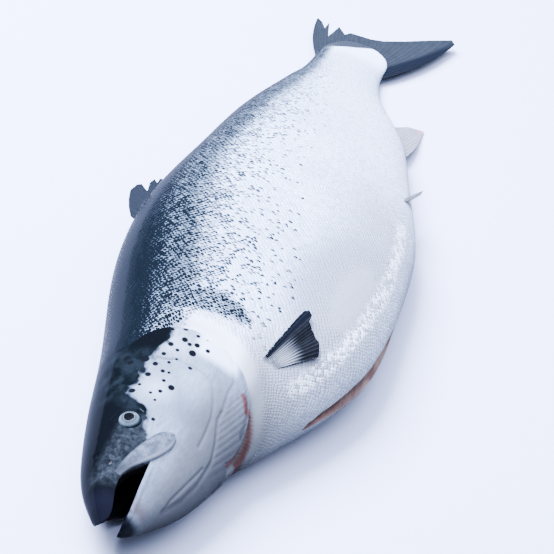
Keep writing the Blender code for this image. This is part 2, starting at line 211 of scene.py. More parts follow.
def skinDepth(place):  # how far a point lies under the outer skin
    x, y, z = np.moveaxis(place, -1, 0)
    middle, power, reach, half = sectionShape(x, y)
    radius = np.clip((np.abs(y - middle) / reach) ** (2 / power) + (np.abs(z) / half) ** (2 / power), 1e-9, None)
    radius = radius ** (power / 2)
    return (1 - radius) * np.hypot(y - middle, z) / np.maximum(radius, 1e-6)


# Mesh helpers


def placeObject(name, data):
    thing = bpy.data.objects.new(name, data)
    bpy.context.scene.collection.objects.link(thing)
    return thing


def meshObject(name, points, faces):
    mesh = bpy.data.meshes.new(name)
    mesh.from_pydata(np.asarray(points, float).reshape(-1, 3).tolist(), [], [list(face) for face in faces])
    mesh.validate()
    return placeObject(name, mesh)


def gridFaces(rows, columns, closed=False, start=0):
    i, j = np.meshgrid(np.arange(rows - 1), np.arange(columns if closed else columns - 1), indexing="ij")
    after = (j + 1) % columns
    corners = np.stack([i * columns + j, i * columns + after, (i + 1) * columns + after, (i + 1) * columns + j], -1)
    return corners.reshape(-1, 4) + start


def loftSolid(name, rings):  # closed body through rings, with a fan over each end
    rings = np.asarray(rings, float)
    rows, columns = rings.shape[:2]
    points = np.concatenate([rings.reshape(-1, 3), rings[0].mean(0)[None], rings[-1].mean(0)[None]])
    faces = gridFaces(rows, columns, closed=True).tolist()
    last = (rows - 1) * columns
    for j in range(columns):
        after = (j + 1) % columns
        faces.append((j, rows * columns, after))
        faces.append((last + after, rows * columns + 1, last + j))
    thing = meshObject(name, points, faces)
    if signedVolume(thing.data) < 0:
        thing.data.flip_normals()
    return thing


def meshPoints(mesh):
    points = np.empty(len(mesh.vertices) * 3)
    mesh.vertices.foreach_get("co", points)
    return points.reshape(-1, 3)


def signedVolume(mesh):
    mesh.calc_loop_triangles()
    corners = np.empty(len(mesh.loop_triangles) * 3, np.int32)
    mesh.loop_triangles.foreach_get("vertices", corners)
    return np.linalg.det(meshPoints(mesh)[corners.reshape(-1, 3)]).sum()


def bakeModifiers(thing):
    graph = bpy.context.evaluated_depsgraph_get()
    graph.update()
    mesh = bpy.data.meshes.new_from_object(thing.evaluated_get(graph))
    thing.modifiers.clear()
    thing.data = mesh


def combine(thing, other, operation):
    step = thing.modifiers.new(operation.title(), "BOOLEAN")
    step.operation = operation
    step.solver = "MANIFOLD"
    step.object = other
    bakeModifiers(thing)
    bpy.data.objects.remove(other)


def dropCrumbs(thing):  # the cuts leave specks of a few triangles where two surfaces nearly meet
    mesh = bmesh.new()
    mesh.from_mesh(thing.data)
    waiting = set(mesh.verts)
    while waiting:
        island = [waiting.pop()]
        for corner in island:
            linked = [edge.other_vert(corner) for edge in corner.link_edges]
            fresh = [other for other in linked if other in waiting]
            waiting.difference_update(fresh)
            island += fresh
        if len(island) < 100:
            bmesh.ops.delete(mesh, geom=island, context="VERTS")
    mesh.to_mesh(thing.data)
    mesh.free()


def outlinePrism(name, corners, low, high):
    levels = np.linspace(low, high, 13)
    corners = np.asarray(corners, float)
    rings = [np.column_stack([corners, np.full(len(corners), level)]) for level in levels]
    return loftSolid(name, layDown(rings, flat=False))


def arcPoints(centre, radius, start, end, count):
    angles = np.radians(np.linspace(start, end, count))
    return np.column_stack([centre[0] + radius * np.cos(angles), centre[1] + radius * np.sin(angles)])


def setAttributes(mesh, **zones):
    for name, values in zones.items():
        layer = mesh.attributes.new(name, "FLOAT", "POINT")
        layer.data.foreach_set("value", np.asarray(values, np.float32).ravel())


def setUv(mesh, name, perVertex):
    layer = mesh.uv_layers.new(name=name)
    loops = np.empty(len(mesh.loops), np.int32)
    mesh.loops.foreach_get("vertex_index", loops)
    layer.data.foreach_set("uv", np.asarray(perVertex, np.float32)[loops].ravel())


def smoothWithEdges(mesh, angle):
    mesh.shade_smooth()
    mesh.set_sharp_from_angle(angle=angle)


def splitMaterials(mesh, materials, choose):  # choose gives each face's material from its middle
    mesh.materials.clear()
    for material in materials:
        mesh.materials.append(material)
    centres = np.empty(len(mesh.polygons) * 3)
    mesh.polygons.foreach_get("center", centres)
    picks = np.asarray(choose(fishPlace(centres.reshape(-1, 3))), np.int32)
    mesh.polygons.foreach_set("material_index", picks)


def distanceToLine(x, y, points):
    points = np.asarray(points, float)
    nearest = np.full(np.shape(x), 1e3)
    for one, two in zip(points, points[1:]):
        along = two - one
        share = np.clip(((x - one[0]) * along[0] + (y - one[1]) * along[1]) / (along @ along), 0, 1)
        nearest = np.minimum(nearest, np.hypot(x - one[0] - share * along[0], y - one[1] - share * along[1]))
    return nearest


def lineHeight(x, points):
    xs, ys = zip(*points)
    return np.interp(x, xs, ys)


def insideOutline(x, y, points):  # signed distance, positive inside a closed outline
    points = np.asarray(points, float)
    closedPoints = np.vstack([points, points[:1]])
    crossings = np.zeros(np.shape(x), int)
    for (x1, y1), (x2, y2) in zip(closedPoints, closedPoints[1:]):
        if y1 != y2:
            crossings += ((y1 > y) != (y2 > y)) & (x < (x2 - x1) * (y - y1) / (y2 - y1) + x1)
    distance = distanceToLine(x, y, closedPoints)
    return np.where(crossings % 2 == 1, distance, -distance)


# Material helpers. A Value is an output in a node tree that can be reckoned with


class Value:
    def __init__(self, tree, socket):
        self.tree, self.socket = tree, socket

    def __add__(self, other):
        return calc("ADD", self, other)

    def __sub__(self, other):
        return calc("SUBTRACT", self, other)

    def __rsub__(self, other):
        return calc("SUBTRACT", other, self)

    def __mul__(self, other):
        return calc("MULTIPLY", self, other)

    def __pow__(self, other):
        return calc("POWER", self, other)

    __radd__, __rmul__ = __add__, __mul__

    def fade(self, low, high):  # 0 at low, 1 at high
        inputs = {"Value": self, "From Min": low, "From Max": high}
        made = addNode(self.tree, "ShaderNodeMapRange", inputs, interpolation_type="SMOOTHSTEP")
        return Value(self.tree, made.outputs["Result"])


def plug(tree, value, target):
    value = getattr(value, "socket", value)
    if isinstance(value, bpy.types.NodeSocket):
        tree.links.new(value, target)
    else:
        target.default_value = (*value, 1) if target.type == "RGBA" else value


def addNode(tree, kind, inputs=None, **properties):
    made = tree.nodes.new(kind)
    for name, value in properties.items():
        setattr(made, name, value)
    for name, value in (inputs or {}).items():
        plug(tree, value, made.inputs[name])
    return made


def calc(operation, *values, clamp=False):
    tree = next(value.tree for value in values if isinstance(value, Value))
    made = addNode(tree, "ShaderNodeMath", dict(enumerate(values)), operation=operation, use_clamp=clamp)
    return Value(tree, made.outputs[0])


class Paint:  # a material that is built up in coats of colour
    def __init__(self, name, colour=None):
        self.material = bpy.data.materials.new(name)
        self.material.use_nodes = True
        self.tree = self.material.node_tree
        self.colour = colour

    def node(self, kind, inputs=None, output=0, **properties):
        return Value(self.tree, addNode(self.tree, kind, inputs, **properties).outputs[output])

    def read(self, attribute):
        return self.node("ShaderNodeAttribute", output="Fac", attribute_name=attribute)

    def noise(self, scale, detail=3.0, rough=0.5, stretch=None):
        place = self.node("ShaderNodeTexCoord", output="Object")
        if stretch:
            place = self.node("ShaderNodeMapping", {"Vector": place, "Scale": stretch})
        inputs = {"Vector": place, "Scale": scale, "Detail": detail, "Roughness": rough}
        return self.node("ShaderNodeTexNoise", inputs, "Fac")

    def split(self, value):
        parts = addNode(self.tree, "ShaderNodeSeparateXYZ", {0: value}).outputs
        return [Value(self.tree, part) for part in parts]

    def blend(self, share, first, second):  # a share that is a name is the mesh's attribute
        share = self.read(share) if isinstance(share, str) else share
        return self.node("ShaderNodeMix", {"Factor": share, 6: first, 7: second}, 2, data_type="RGBA")

    def coat(self, share, colour):
        self.colour = self.blend(share, self.colour, colour)

    def bump(self, strength, distance, height, **normal):
        return self.node("ShaderNodeBump", {"Strength": strength, "Distance": distance, "Height": height} | normal)

    def done(self, **inputs):  # the shader's inputs, with _ for a space
        for name, value in {"Base_Color": self.colour, **inputs}.items():
            plug(self.tree, value, self.tree.nodes["Principled BSDF"].inputs[name.replace("_", " ")])
        return self.material


# Camera first: it stands at the photograph's place
view = {
    "place": (-1.46184798, -0.2284422, 1.27722518),
    "target": (0.40826336, -0.03573014, 0.05),
    "roll": 0.27087897,
    "lens": 157.9,
}


def makeCamera():
    place, target = (np.array(view[name]) for name in ("place", "target"))
    ahead = (target - place) / np.linalg.norm(target - place)
    right = np.cross(ahead, (0, 0, 1))
    right /= np.linalg.norm(right)
    above = np.cross(right, ahead)
    cosine, sine = math.cos(view["roll"]), math.sin(view["roll"])
    turnedRight, turnedAbove = cosine * right + sine * above, cosine * above - sine * right
    camera = bpy.data.cameras.new("camera")
    camera.sensor_width = 36
    camera.lens = view["lens"]
    camera.clip_end = 20
    thing = placeObject("camera", camera)
    turn = Matrix(np.column_stack([turnedRight, turnedAbove, -ahead]).tolist()).to_4x4()
    spot = Vector(place * forkLength) + Vector((*originShift, -form["floorCut"] * forkLength))
    thing.matrix_world = Matrix.Translation(spot) @ turn
    bpy.context.scene.camera = thing


makeCamera()
print("camera placed")

stage = {
    "floor": (0.6, 0.6, 0.66),
    "bounce": 0.15,  # share of the floor's light that the fish gets back
    "light": (0.52, 0.62, 1.0),
    "zenith": 18.0,  # strength overhead, falling to the horizon's
    "focus": 6.0,  # how quickly it falls
    "horizon": 0.08,
    "reach": 8,  # metres of floor each way
    "mirror": 0.02,  # share of the sky that the wet skin reflects
    "gloss": 0.1,  # and of the floor
    "lamps": (  # name, place, power, size and whether the skin mirrors it
        ("keyLight", (0.25, 1.1, 1.75), 700, 1.3, False),
        ("glintLight", (1.2, 0.05, 0.95), 6, 0.35, True),
    ),
}


def makeStage():
    far = stage["reach"]
    floor = meshObject("floor", [(-far, -far, 0), (far, -far, 0), (far, far, 0), (-far, far, 0)], [(0, 1, 2, 3)])
    paint = Paint("paleFloor")
    toCamera, toMirror = (paint.node("ShaderNodeLightPath", output=f"Is {kind} Ray") for kind in ("Camera", "Glossy"))
    shown = np.array(stage["floor"])
    bounced, mirrored = (tuple(shown * stage[name]) for name in ("bounce", "gloss"))
    paint.colour = paint.blend(toCamera, paint.blend(toMirror, bounced, mirrored), tuple(shown))
    floor.data.materials.append(paint.done(Roughness=0.85, Specular_IOR_Level=0.0))
    floor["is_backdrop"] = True
    world = bpy.data.worlds.new("studio")
    world.use_nodes = True
    tree = world.node_tree
    direction = addNode(tree, "ShaderNodeTexCoord").outputs["Generated"]
    height = Value(tree, addNode(tree, "ShaderNodeSeparateXYZ", {0: direction}).outputs[2])
    overhead = calc("MAXIMUM", height, 0.0) ** stage["focus"]
    sky = stage["horizon"] + overhead * stage["zenith"]
    glossy = Value(tree, addNode(tree, "ShaderNodeLightPath").outputs["Is Glossy Ray"])
    background = tree.nodes["Background"].inputs
    plug(tree, stage["light"], background["Color"])
    plug(tree, sky * (1 - glossy * (1 - stage["mirror"])), background["Strength"])
    bpy.context.scene.world = world
    for name, place, power, size, mirrored in stage["lamps"]:
        lamp = bpy.data.lights.new(name, "AREA")
        lamp.energy = power
        lamp.size = size
        lamp.color = stage["light"]
        thing = placeObject(name, lamp)
        thing.location = place
        thing.rotation_euler = (Vector((0, 0, 0.03)) - Vector(place)).to_track_quat("-Z", "Y").to_euler()
        thing.visible_glossy = mirrored


makeStage()
print("floor and lights set")

# Gill covers and the slit behind them
cover = {
    "x": 0.142,
    "y": -0.006,
    "radius": 0.0635,
    "thick": 0.0035,
    "free": 0.02,  # how far its loose rim reaches
    "recess": 0.0068,  # of the trunk under the rim
    "napeRecess": 0.0006,
    "blend": 0.016,
    "throatFree": 0.004,
    "throatBlend": 0.01,
}


def beyondRim(x, y):
    return np.hypot(x - cover["x"], y - cover["y"]) - cover["radius"]


def sectionArc():  # girth measured from the ridge, for laying out the scale rows
    xs, angles = np.linspace(0.05, form["rootTip"] - 0.001, 240), np.linspace(0, np.pi, 181)
    ring = skinPoint(xs[:, None], angles[None])[..., 1:]
    steps = np.hypot(*np.moveaxis(np.diff(ring, axis=1), -1, 0))
    return xs, angles, np.concatenate([np.zeros((len(xs), 1)), np.cumsum(steps, 1)], 1)


# rows of scales on each side, and their pitch lengthwise at a place near the deepest one
scales = {"rowsPerSide": 62, "alongPitch": 0.0044, "atPlace": 0.35}


def scaleUv(place):
    x, y, z = np.moveaxis(place, -1, 0)
    middle, power, reach, half = sectionShape(x, y)
    upward = np.sign(y - middle) * (np.abs(y - middle) / reach) ** (1 / power)
    outward = (np.abs(z) / half) ** (1 / power)
    angle = np.arctan2(outward, upward)
    xs, angles, length = sectionArc()
    total = length[:, -1]
    rowAt = np.clip((x - xs[0]) / (xs[1] - xs[0]), 0, len(xs) - 1.001)
    columnAt = np.clip(angle / (angles[1] - angles[0]), 0, len(angles) - 1.001)
    i, j = rowAt.astype(int), columnAt.astype(int)
    u, v = rowAt - i, columnAt - j
    grid = length / total[:, None]
    share, nextShare = (grid[i, k] * (1 - u) + grid[i + 1, k] * u for k in (j, j + 1))
    share = share * (1 - v) + nextShare * v
    pitch = scales["alongPitch"] * (total / np.interp(scales["atPlace"], xs, total)) ** 0.8
    counted = np.concatenate([[0], np.cumsum(np.diff(xs) * forkLength / ((pitch[1:] + pitch[:-1]) / 2))])
    along = np.interp(x, xs, counted)
    return np.column_stack([along, share * scales["rowsPerSide"]]), np.degrees(angle)


# Skin of the trunk
trunkGrid = {"rings": 390, "around": 200, "start": 0.1}
shoulderPatch = milli(
    238.9, 40.3, 251.3, 26.8, 257.9, 5.7, 255.5, -19.2, 244.6, -34.7, 236.8, -25.5, 232.8, -2.6, 225.6, 18.3,
    221.5, 32.9,
)
# where the painted glints of single scales run along the lower flank
glitterLine = milli(
    215, -90, 224.7, -94.6, 251.4, -106.1, 293.7, -118.7, 342.6, -126.5, 394, -130.4, 436.3, -131.9, 490, -129,
    540, -123,
)
# outline of the painted shade on the lower flank
flankShade = milli(
    270, -60, 320, -46, 370, -48, 415, -62, 450, -85, 462, -115, 430, -130, 360, -132, 290, -124, 250, -100,
)
finRootLine = milli(-40, 974, -19.8, 970.5, 4.3, 950, 24, 934, 45, 932)
bareZone = milli(300, -98, 335, -90, 372, -92, 400, -99, 430, -112, 400, -121, 350, -119, 310, -112)
# where the dark back ends, in degrees from the ridge, and the flecks' share beyond that
backEdge = (
    (0.1, 80), (0.19, 84), (0.27, 86), (0.38, 73), (0.46, 66), (0.56, 63), (0.67, 65), (0.8, 67), (0.9, 56),
)
fleckShares = ((-60, 0.85), (-8, 0.85), (6, 0.66), (14, 0.36), (24, 0.12), (38, 0.0))
gillStrips = (
    ((0.1715, -0.0545), (0.1704, -0.0567), (0.1633, -0.0618)), ((0.1665, -0.0652), (0.158, -0.0715),
    (0.152, -0.0739), (0.1433, -0.0747), (0.1375, -0.0738), (0.1325, -0.0726)),
)
cut = {
    "start": 0.214,
    "end": 0.7,
    "depth": 0.055,
    "beyond": 0.02,  # the cutter's reach outside the skin
    "side": -0.003,
    "gape": (
        (0.214, 0.001), (0.235, 0.008), (0.28, 0.0125), (0.335, 0.015), (0.38, 0.012), (0.42, 0.005),
        (0.48, 0.003), (0.7, 0.001),
    ),
}
cutTones = {"meat": (0.22, 0.115, 0.085), "fat": (0.48, 0.32, 0.24), "blood": (0.14, 0.07, 0.05)}
trunkTones = {
    "dull": (0.64, 0.69, 0.74),
    "bright": (0.82, 0.86, 0.9),
    "odd": (0.27, 0.34, 0.38),
    # the scale rims' colour, with painted shade where scales overlap
    "rims": (0.17, 0.2, 0.22),
    "grain": (0.22, 0.215, 0.205),
    # painted highlight of glinting scales
    "glitter": (1.0, 0.99, 0.95),
    "azure": (0.42, 0.6, 0.68),
    "haze": (0.07, 0.092, 0.1),
    "ridge": (0.006, 0.008, 0.009),
    "fleck": (0.012, 0.018, 0.0235),
    "backFleck": (0.0028, 0.0042, 0.005),
    "wetness": 0.65,  # how much smoother the ridge is
}
trunkZones = {
    # painted shade on the lower flank
    "flankTone": (0.17, 0.19, 0.21),
    # painted shade on the belly's lower side
    "bellyTone": (0.36, 0.355, 0.345),
    # pale bare skin behind the gill cover with a painted highlight
    "shoulder": (0.94, 0.94, 0.93),
    # painted shade on the throat under the gill cover
    "throatTone": (0.25, 0.245, 0.23),
    "gillShadow": (0.105, 0.105, 0.095),
    "finRoot": (0.026, 0.029, 0.031),
    "gillRed": (0.075, 0.028, 0.02),
}


def trunkSolid():
    lengthwise = np.linspace(0, 1, trunkGrid["rings"])
    xs = trunkGrid["start"] + (form["rootTip"] - 0.0006 - trunkGrid["start"]) * lengthwise
    angles = np.linspace(0, 2 * np.pi, trunkGrid["around"] + 1)[:-1]
    x, angle = xs[:, None], angles[None]
    skin = skinPoint(x, angle)
    beyond = beyondRim(skin[..., 0], skin[..., 1])
    beyond = np.where(skin[..., 0] < cover["x"], np.minimum(beyond, 0), beyond)
    cheek = smoothStep((0.04 - skin[..., 1]) / 0.02)
    cheek = cheek * smoothStep((np.abs(skin[..., 2]) - cover["throatFree"]) / cover["throatBlend"])
    deepest = cover["napeRecess"] + (cover["recess"] - cover["napeRecess"]) * cheek
    inset = deepest * (1 - smoothStep(beyond / cover["blend"]))
    return loftSolid("trunkSkin", layDown(skinPoint(x, angle, inset)))


def bellyCut():
    gapeX, gape = zip(*cut["gape"])
    rings = []
    for x in np.linspace(cut["start"], cut["end"], 150):
        along = (x - cut["start"]) / (cut["end"] - cut["start"])
        deep = cut["depth"] * np.clip(9 * along, 0.12, 1) * np.clip(9 * (1 - along), 0.12, 1)
        keel = -float(bellyAt(x))
        apex = np.array((x, keel + deep, 0.0008))
        edge = np.array((x, keel + 0.004, np.interp(x, gapeX, gape)))
        rim = np.array((x, keel, cut["side"] * min(1, 12 * along, 12 * (1 - along) + 0.1)))
        past = apex + (edge - apex) * (deep + cut["beyond"]) / (deep - 0.004)
        below = apex + (rim - apex) * (deep + cut["beyond"]) / deep
        ring = [apex + (past - apex) * s for s in (0, 0.25, 0.5, 0.75, 1)]
        rings.append(ring + [apex + (below - apex) * s for s in (1, 0.75, 0.5, 0.25)])
    return loftSolid("bellyCut", layDown(rings, flat=False))


def fleshMaterial():
    paint = Paint("cutFlesh", cutTones["meat"])
    streaks = paint.noise(90, 4, 0.6, (0.35, 1, 1))
    paint.coat(streaks.fade(0.35, 0.7), cutTones["fat"])
    paint.coat(paint.noise(28, 2).fade(0.45, 0.7), cutTones["blood"])
    bump = paint.bump(0.5, 0.0006, streaks)
    return paint.done(Normal=bump, Roughness=0.28, Coat_Weight=0.6, Coat_Roughness=0.12)


def scaledSkin():
    tones, paint = trunkTones, Paint("scaledSkin", trunkTones["dull"])
    uv = paint.node("ShaderNodeUVMap", uv_map="scaleMap")
    wander = paint.node("ShaderNodeTexNoise", {"Vector": uv, "Scale": 0.35, "Detail": 2.0}, "Color")
    u, v, _ = (at + shift * 1.6 for at, shift in zip(paint.split(uv), paint.split(wander)))
    first, second = u + v, u - v
    cell = paint.node("ShaderNodeCombineXYZ", {0: calc("FLOOR", first), 1: calc("FLOOR", second)})
    chance = paint.node("ShaderNodeTexWhiteNoise", {"Vector": cell}, "Color", noise_dimensions="3D")
    one, two, hue = paint.split(chance)
    first, second = calc("FRACT", first), calc("FRACT", second)
    scaleBody = calc("MINIMUM", 1.0 - first, 1.0 - second).fade(0.02, 0.4)
    slope = (first + second) * 0.5
    wide, long = ((first - second) * 0.5 * 1.5) ** 2.0, ((slope - 0.5) * 2.9) ** 2.0
    fromMiddle = calc("SQRT", wide + long) + (paint.noise(460, 4, 0.7) - 0.5) * 1.35
    scaled = 1.0 - paint.read("bareSkin")

    # silver flank, with painted shade on its lower part and painted glints along the belly
    cloud = paint.noise(9, 3)
    paint.coat(cloud.fade(0.35, 0.65), tones["bright"])
    paint.coat(calc("ADD", 0.04, (hue - 0.35) * 0.75 * scaled, clamp=True), tones["odd"])
    # painted shade: the lower flank and the belly darker, away from the light
    for zone in ("flankTone", "bellyTone"):
        paint.coat(zone, trunkZones[zone])
    # the scales' rims darker: their own edge colour with painted shade where each scale overlaps the next
    paint.coat((1.0 - scaleBody) * scaled * 0.55, tones["rims"])
    silver = paint.noise(650, 4, 0.7, (1, 0.6, 1))
    # fine grain, laid where the belly's painted shade lies
    paint.coat(silver.fade(0.42, 0.68) * (paint.read("bellyTone") * 0.55), tones["grain"])
    # painted highlight: glints of single scales along the lower flank
    sparkle = paint.noise(620, 4, 0.8) + (two - 0.5) * 0.3
    paint.coat(paint.read("glitter") * sparkle.fade(0.42, 0.6), tones["glitter"])

    # dark back, breaking up into flecks of one scale each
    fleckShare, back, ridge = (paint.read(name) for name in ("fleckShare", "backTone", "ridgeTone"))
    paint.coat(fleckShare.fade(0.0, 0.7) * cloud.fade(0.25, 0.75) * 0.6, tones["azure"])
    cloudy = (paint.noise(42, 4, 0.65) - 0.5) * 1.3
    backLevel = back * 0.8 + (cloudy + (two - 0.5) * 0.9) * back.fade(0.0, 0.3)
    fleckChance = fleckShare * (0.55 + paint.noise(45, 3) * 0.9)
    fleckLevel = calc("LESS_THAN", one, fleckChance) * (0.46 + hue * 0.42)
    level = calc("MAXIMUM", backLevel, fleckLevel) + ridge * 0.45
    haze = (back + cloudy * 0.35).fade(-0.03, 0.88)
    paint.coat(haze * (0.93 - paint.read("napeGap") * 0.26), tones["haze"])
    paint.coat(ridge * 0.95, tones["ridge"])
    fleckTone = paint.blend(back.fade(0.05, 0.6), tones["fleck"], tones["backFleck"])
    paint.coat((level - fromMiddle).fade(-0.12, 0.16), fleckTone)
    # painted highlight behind the gill cover, painted shade on the throat and under the cover, the dark fin root and
    # the blood in the slit
    for zone in ("shoulder", "throatTone", "gillShadow", "finRoot", "gillRed"):
        paint.coat(zone, trunkZones[zone])

    bump = paint.bump(scaled * (0.8 - ridge * 0.55), 0.0007, slope * scaleBody)
    ripple = paint.bump(0.15, 0.002, paint.noise(60, 3), Normal=bump)
    rough = (0.2 + hue * 0.12) * (1.0 - ridge * tones["wetness"])
    return paint.done(
        Normal=ripple, Roughness=rough, Specular_IOR_Level=0.25, Sheen_Weight=0.4, Sheen_Roughness=0.11
    )


def dressTrunk(thing, skin, flesh):
    mesh = thing.data
    place = fishPlace(meshPoints(mesh))
    x, y, z = np.moveaxis(place, -1, 0)
    uv, angle = scaleUv(place)
    setUv(mesh, "scaleMap", uv)
    beyond = beyondRim(x, y)
    edge = lineHeight(x, backEdge)
    patch = smoothStep(insideOutline(x, y, shoulderPatch) / 0.01 + 0.6)
    behindHead = 1 - above(beyond, 0.01, 0.05)
    flecks = lineHeight(angle - edge, fleckShares)
    flecks = flecks * (1 - 0.5 * above(x, 0.6, 0.2)) * (1 - above(x, 0.86, 0.05))
    band = above(beyond, -0.004, 0.004) * (1 - above(beyond, 0.01, 0.01))
    collar = (1 - above(beyond, 0.022, 0.012)) * under(y, 0.032, 0.012)
    below = under(y, 0.02, 0.012)
    throat = under(y, -0.048, 0.016)
    red = 0.6 * (1 - above(beyond, -0.0005, 0.003)) * under(y, -0.04, 0.015)
    strip = np.minimum(*(distanceToLine(x, y, line) for line in gillStrips))
    bare = smoothStep(insideOutline(x, y, bareZone) / 0.01 + 0.5)
    # painted shade: the front belly's lower side darker, where it faces away from the light
    belly = above(angle, 106, 26) * (1 - above(x, 0.5, 0.15)) * (1 - 0.7 * above(angle, 146, 18)) * 0.8
    setAttributes(
        mesh,
        backTone=np.maximum(1 - above(angle - edge, -22, 32), 0.72 * patch),
        napeGap=behindHead,
        ridgeTone=smoothStep((edge - 22 + 6 * behindHead - angle) / 22),
        fleckShare=np.maximum(flecks * (1 - collar), 0.62 * patch),
        # pale bare skin behind the gill cover, brightened with a painted highlight
        shoulder=band * below * (1 - patch) * (1 - throat) * 0.9,
        gillShadow=0.85 * throat * (1 - above(beyond, 0.004, 0.03)),
        # painted shade: the throat darker under the gill cover
        throatTone=0.8 * under(y, -0.03, 0.02) * (1 - above(beyond, 0.015, 0.06)),
        gillRed=np.maximum(red, 0.95 * (1 - above(strip, 0.0018, 0.003))),
        # painted shade: a darker patch on the lower flank
        flankTone=0.85 * smoothStep(insideOutline(x, y, flankShade) / 0.048 + 0.45),
        bellyTone=belly,
        bareSkin=np.maximum(np.maximum(bare, above(x, 0.9, 0.04)), band * below),
        finRoot=above(x, lineHeight(y, finRootLine), 0.003),
        # painted highlight: a band of glints along the lower flank
        glitter=1 - above(distanceToLine(x, y, glitterLine), 0.003, 0.006),
    )

    def cutFaces(spots):
        x, y, z = spots.T
        return (skinDepth(spots) > 0.0003) & (x > cut["start"] - 0.0005) & (y < -0.06) & (np.abs(z) < 0.02)

    splitMaterials(mesh, (skin, flesh), cutFaces)
    smoothWithEdges(mesh, 0.8)


trunk = trunkSolid()
combine(trunk, bellyCut(), "DIFFERENCE")
dressTrunk(trunk, scaledSkin(), fleshMaterial())
print("trunk skin:", len(trunk.data.vertices), "points")

# Head: skull, cheeks and gill covers with their folds
skull = {"rings": 235, "leftAround": 235, "rightAround": 120, "end": 0.212, "spotGrowth": 1.45, "nostril": 0.0012}
mouth = {
    "x": (-0.02, -0.008, -0.002, 0.006, 0.016, 0.026, 0.0343, 0.0413, 0.05, 0.057),
    "upper": (0.016, 0.0075, 0.0018, 0.0012, 0.0044, 0.0068, 0.0061, 0.0022, -0.004, -0.0086),
    "lower": (-0.0115, -0.0115, -0.0115, -0.0118, -0.0117, -0.0109, -0.0102, -0.0099, -0.0095, -0.0092),
    "throatCentre": (0.06, -0.003, 0.0),
    "throatRadii": (0.045, 0.012, 0.022),
}
# the gap around the eyeball is in metres
eye = {"x": 0.087, "y": 0.021, "radius": 0.0105, "sunk": 0.0053, "gap": 0.0002, "streaks": (0.022, 0.032, 0.034)}
preopercle = milli(
    160.8, 25.1, 160.6, 19.2, 162.4, 13.8, 165.2, 9, 164.5, 2.1, 165.3, -7.8, 164.7, -15.9, 162.1, -24.9,
    156.2, -29.2, 149.8, -32.7, 140.3, -35.9, 130.2, -38.3, 115.3, -39.1, 99.6, -38.9,
)
opercleEdge = milli(
    198.8, -26.2, 198.8, -32.2, 190.7, -36.2, 184.4, -40.1, 173.9, -42.3, 161.3, -42, 150.5, -43.3, 143.7, -44.1,
)
membraneEdge = milli(
    143.7, -44.1, 135.4, -43.4, 126.3, -46.2, 115.6, -49.9, 99.9, -53.5, 74.6, -51.1, 52, -45.1, 31.3, -35.7,
)
jawFold = milli(31.3, -35.7, 42.5, -37.3, 60.4, -42.3, 76, -46.4, 88.5, -49.4)
# each line's groove, its width, and the painted shade in it with that shade's width
headLines = (
    (preopercle, 0.0007, 0.0014, 0.3, 0.0011),
    (opercleEdge, 0.0006, 0.0013, 0.35, 0.0012),
    (membraneEdge, 0.0008, 0.0013, 0.45, 0.0013),
    (jawFold, 0.0006, 0.001, 0.3, 0.001),
)
nostrils = milli(51.1, 31, 42.9, 19.4)
crownLine = milli(
    -20, -20, 20, -10, 40, -4, 55, -6, 66, -4, 76.5, 3, 87.5, 6.2, 98.3, 8, 103.9, 12.8, 110.8, 25.3, 116.7, 32.8,
    131.3, 28.5, 143.3, 27.8, 155, 28.6, 165.6, 25.6, 179.9, 20.3, 197.6, 22.2, 215, 24,
)
# distance from the snout, height and radius of each round spot on the cheek and cover
roundSpots = milli(
    195, 23.5, 1.5, 200.5, 13, 1.7, 198.4, 1.1, 1.4, 199.1, -7.4, 0.8, 188.3, 10, 2, 178, 18.9, 1.8,
    174.4, 11.8, 1.3, 165.5, 20.7, 1.5, 185.8, 4.7, 1.5, 188.5, -1.4, 1.9, 178.3, -0.7, 2.4, 188.5, -11.5, 1.6,
    156.8, 46.8, 1.8, 150.9, 42.5, 1.6, 155.2, 32.5, 2.3, 152.3, 23.2, 1.7, 162.9, -4.3, 1.5, 147.2, 15, 1.4,
    148.1, 9.8, 1.1, 139.1, 24.7, 1.8, 118.4, 30.2, 1.8, 126.4, 27.2, 1.1, 138, 10.7, 1.3, 134.4, 2.6, 2.1,
    125.9, 9.4, 1.4, 120.7, 16, 1.1, 115, 10.1, 1, 95.6, 4.2, 1.3, 134.3, 47.2, 1.5, 124.6, 44.5, 1.8,
    114.3, 39.5, 1.6, 102.5, 33, 1.5, 158.5, 13.6, 1.2, 165.2, 9, 1, columns=3,
)
# places, reaches and shares of the brighter parts of the cheek
paleAreas = ((0.128, 0.012, 0.014, 0.35), (0.18, 0.014, 0.014, 0.25), (0.15, -0.01, 0.018, 0.12))
# the ribbed membrane's upper edge goes on from membraneEdge to here
membraneEnd = milli(161.3, -43, 173.9, -50, 184.2, -56)
# the ribs' slope, pitch and depth, and the strength of the painted shade between them
folds = {"slope": 0.36, "pitch": 0.0041, "depth": 0.00024, "shade": 0.38}
tealPatch = milli(86, 22, 110, 40, 122, 120, 185, 120, 165, 26, 135, 22, 112, 18, 100, 4, 86, 6)
headTones = {
    "dull": (0.125, 0.147, 0.165),
    "bright": (0.215, 0.248, 0.27),
    "grain": (0.09, 0.105, 0.115),
    "silk": (0.085, 0.1, 0.112),
    "crown": (0.0018, 0.0022, 0.0025),
    "teal": ((0.0018, 0.0026, 0.0028), (0.0062, 0.0082, 0.0087)),
    "snout": ((0.0055, 0.0065, 0.0067), (0.027, 0.03, 0.03)),
    "spots": (0.003, 0.0034, 0.0036),
    "wetness": 0.65,  # how much smoother the crown is
}
headZones = {
    # painted shade on the lower cheek and jaw
    "cheekShade": (0.082, 0.078, 0.07),
    # painted shade in the creases
    "foldShade": (0.045, 0.045, 0.044),
    "paleShade": (0.66, 0.74, 0.76),
    "tipShade": (0.004, 0.004, 0.006),
    "rust": (0.07, 0.035, 0.025),
    "coverRed": (0.105, 0.034, 0.025),
}
